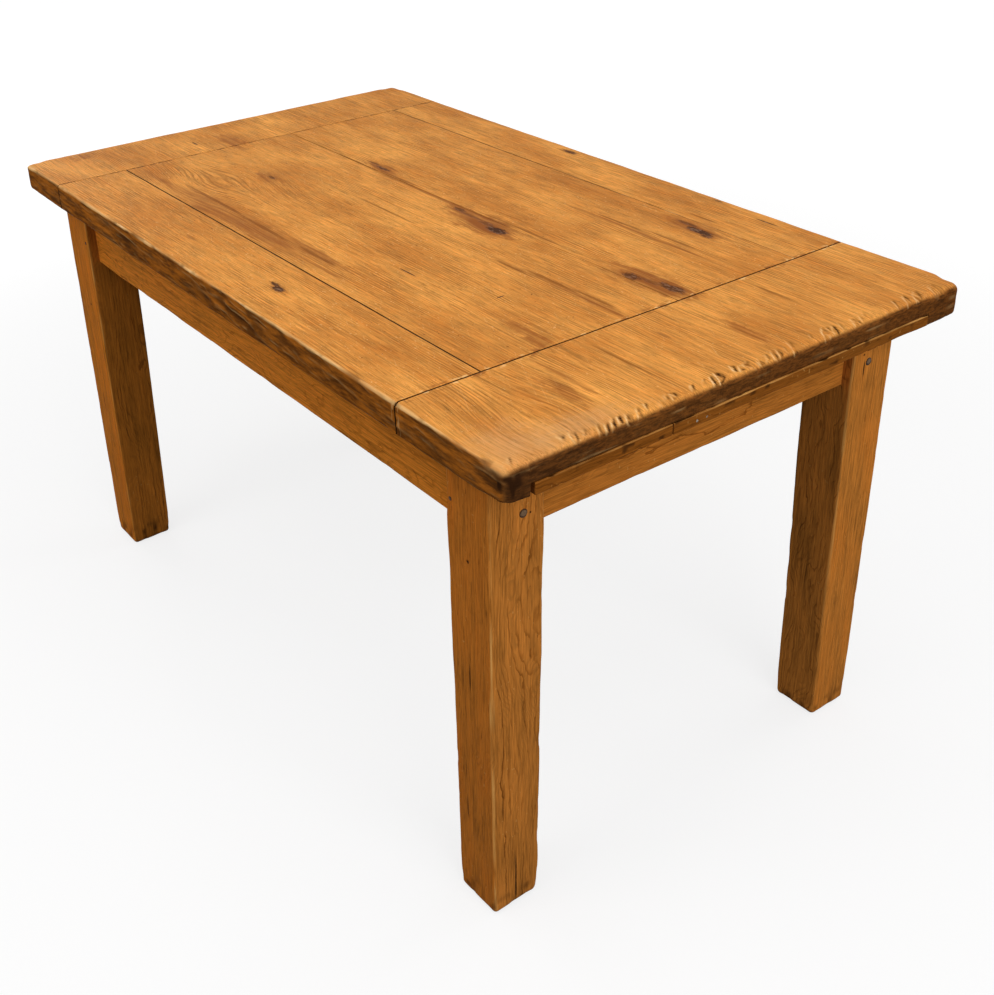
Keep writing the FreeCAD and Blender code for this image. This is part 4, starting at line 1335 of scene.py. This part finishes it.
print(len(hidden), "hidden pieces keep their packed shapes")

# %% [markdown]
# ## Floor
# The table stands on a pale floor, as in a studio. For the camera, and for anything
# shiny, the floor is nearly white and still takes a faint shadow; for the light that bounces
# it is a mid grey, so the shade under the top stays as deep as in a room.

# %% Floor
floor_half = 14.0
floor_grey = (0.12, 0.12, 0.12, 1.0)
near_glow, far_glow, floor_catch = 0.76, 0.93, 0.22
glow_rise = (1.2, 4.0)


def wire(tree, node, outputs):
    """Links some outputs to the inputs of a node, in order."""
    for output, socket in zip(outputs, node.inputs):
        tree.links.new(output, socket)


def seen_directly(tree):
    """1 for rays from the camera, and for mirror and glass rays, else 0."""
    path = tree.nodes.new("ShaderNodeLightPath")
    socket = path.outputs["Is Camera Ray"]
    for name in ("Is Glossy Ray", "Is Transmission Ray"):
        either = tree.nodes.new("ShaderNodeMath")
        either.operation = "MAXIMUM"
        wire(tree, either, (socket, path.outputs[name]))
        socket = either.outputs[0]
    return socket


def floor_finish():
    """Grey for bounced light; for the camera a glow, stronger far from the table, plus a little
    shaded white that shows the shadow."""
    f = Finish("studio_floor")
    away = f.math("SQRT", f.x * f.x + f.y * f.y)
    strength = f.ease(away, *glow_rise) * (far_glow - near_glow) + near_glow
    glow = f.node("ShaderNodeEmission", Strength=strength)
    grey = f.node("ShaderNodeBsdfDiffuse", Color=floor_grey)
    catch = f.node("ShaderNodeBsdfDiffuse", Color=(floor_catch, floor_catch, floor_catch, 1.0))
    lit, pick = f.node("ShaderNodeAddShader"), f.node("ShaderNodeMixShader")
    wire(f.tree, lit, (glow.outputs[0], catch.outputs[0]))
    wire(f.tree, pick, (seen_directly(f.tree), grey.outputs[0], lit.outputs[0]))
    f.feed(f.tree.nodes["Material Output"].inputs["Surface"], pick.outputs[0])
    f.tree.nodes.remove(f.shader)
    return f.material


floor_mesh = bpy.data.meshes.new("studio_floor")
turns = ((-1, -1), (1, -1), (1, 1), (-1, 1))
floor_corners = [(sx * floor_half, sy * floor_half, 0) for sx, sy in turns]
floor_mesh.from_pydata(floor_corners, [], [(0, 1, 2, 3)])
floor_mesh.materials.append(floor_finish())
floor = bpy.data.objects.new("studio_floor", floor_mesh)
bpy.context.scene.collection.objects.link(floor)
floor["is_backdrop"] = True
print("floor", 2 * floor_half, "m across")

# %% [markdown]
# ## Light
# The room gives an even light from everywhere, and behind the floor the camera sees only
# white. Five large soft lamps shape the wood: one lamp alone would leave the far sides dark.

# %% World and lamps
room_light = 0.31
world = bpy.data.worlds.new("studio")
bpy.context.scene.world = world
world.use_nodes = True
tree = world.node_tree
room, white = tree.nodes["Background"], tree.nodes.new("ShaderNodeBackground")
for background, strength in ((room, room_light), (white, 1.0)):
    background.inputs["Color"].default_value = (1, 1, 1, 1)
    background.inputs["Strength"].default_value = strength
pick = tree.nodes.new("ShaderNodeMixShader")
wire(tree, pick, (seen_directly(tree), room.outputs[0], white.outputs[0]))
wire(tree, tree.nodes["World Output"], (pick.outputs[0],))


def soft_light(name, place, target, side, power):
    """A square lamp at a place, turned towards a target."""
    data = bpy.data.lights.new(name, "AREA")
    data.shape, data.size, data.energy = "SQUARE", side, power
    lamp = bpy.data.objects.new(name, data)
    bpy.context.scene.collection.objects.link(lamp)
    way = np.array(target, float) - np.array(place, float)
    back = -way / np.linalg.norm(way)
    right = np.cross((0.0, 1.0, 0.001), back)
    right /= np.linalg.norm(right)
    turn = np.stack([right, np.cross(back, right), back], -1)
    lamp.matrix_world = Matrix.Translation(place) @ Matrix(turn.tolist()).to_4x4()


soft_light("overhead_light", (0.3, -0.3, 3.0), (0.0, 0.0, 0.75), 3.0, 35.0)
soft_light("side_light", (3.6, -0.5, 2.2), (0.4, 0.0, 0.5), 2.4, 64.0)
soft_light("front_light", (0.0, -3.3, 2.8), (0.0, 0.0, 0.5), 2.2, 34.0)
soft_light("left_light", (-3.6, -0.3, 1.7), (0.0, 0.0, 0.4), 2.2, 30.0)
soft_light("back_light", (0.5, 3.6, 1.8), (0.0, 0.0, 0.4), 2.2, 30.0)
print("room light", room_light, "with five soft lamps")

# %% [markdown]
# ## Camera
# The picture was taken from about head height, off the near right corner. The camera's place
# and turn come from lining up the table's edges with the picture; the lens is the focal length
# in picture heights times the sensor's height. The picture is a piece of a larger one, so what
# the lens points at is not in its middle, and the camera is shifted by that much.

# %% Camera
picture_height = 995
focal_pixels = 1330.9
aim_pixel, picture_middle = (455.8, 402.8), (497.0, 497.5)
camera_place = (1.6555, -1.1570, 1.4994)
look_azimuth, look_elevation, look_roll = (math.radians(v) for v in (144.118, -28.031, -1.617))
forward = np.array([math.cos(look_elevation) * math.cos(look_azimuth),
                    math.cos(look_elevation) * math.sin(look_azimuth), math.sin(look_elevation)])
level = np.cross(forward, (0, 0, 1))
level /= np.linalg.norm(level)
upright = np.cross(level, forward)
right = level * math.cos(look_roll) + upright * math.sin(look_roll)
above = upright * math.cos(look_roll) - level * math.sin(look_roll)
camera_data = bpy.data.cameras.new("camera")
camera_data.sensor_width = 36.0
camera_data.lens = focal_pixels / picture_height * camera_data.sensor_width
camera_data.shift_x = (picture_middle[0] - aim_pixel[0]) / picture_height
camera_data.shift_y = (aim_pixel[1] - picture_middle[1]) / picture_height
camera = bpy.data.objects.new("camera", camera_data)
turn = Matrix(np.stack([right, above, -forward], -1).tolist())
camera.matrix_world = Matrix.Translation(camera_place) @ turn.to_4x4()
bpy.context.scene.collection.objects.link(camera)
bpy.context.scene.camera = camera
bpy.context.scene.view_settings.view_transform = "Standard"
print("lens", round(camera_data.lens, 2), "mm")
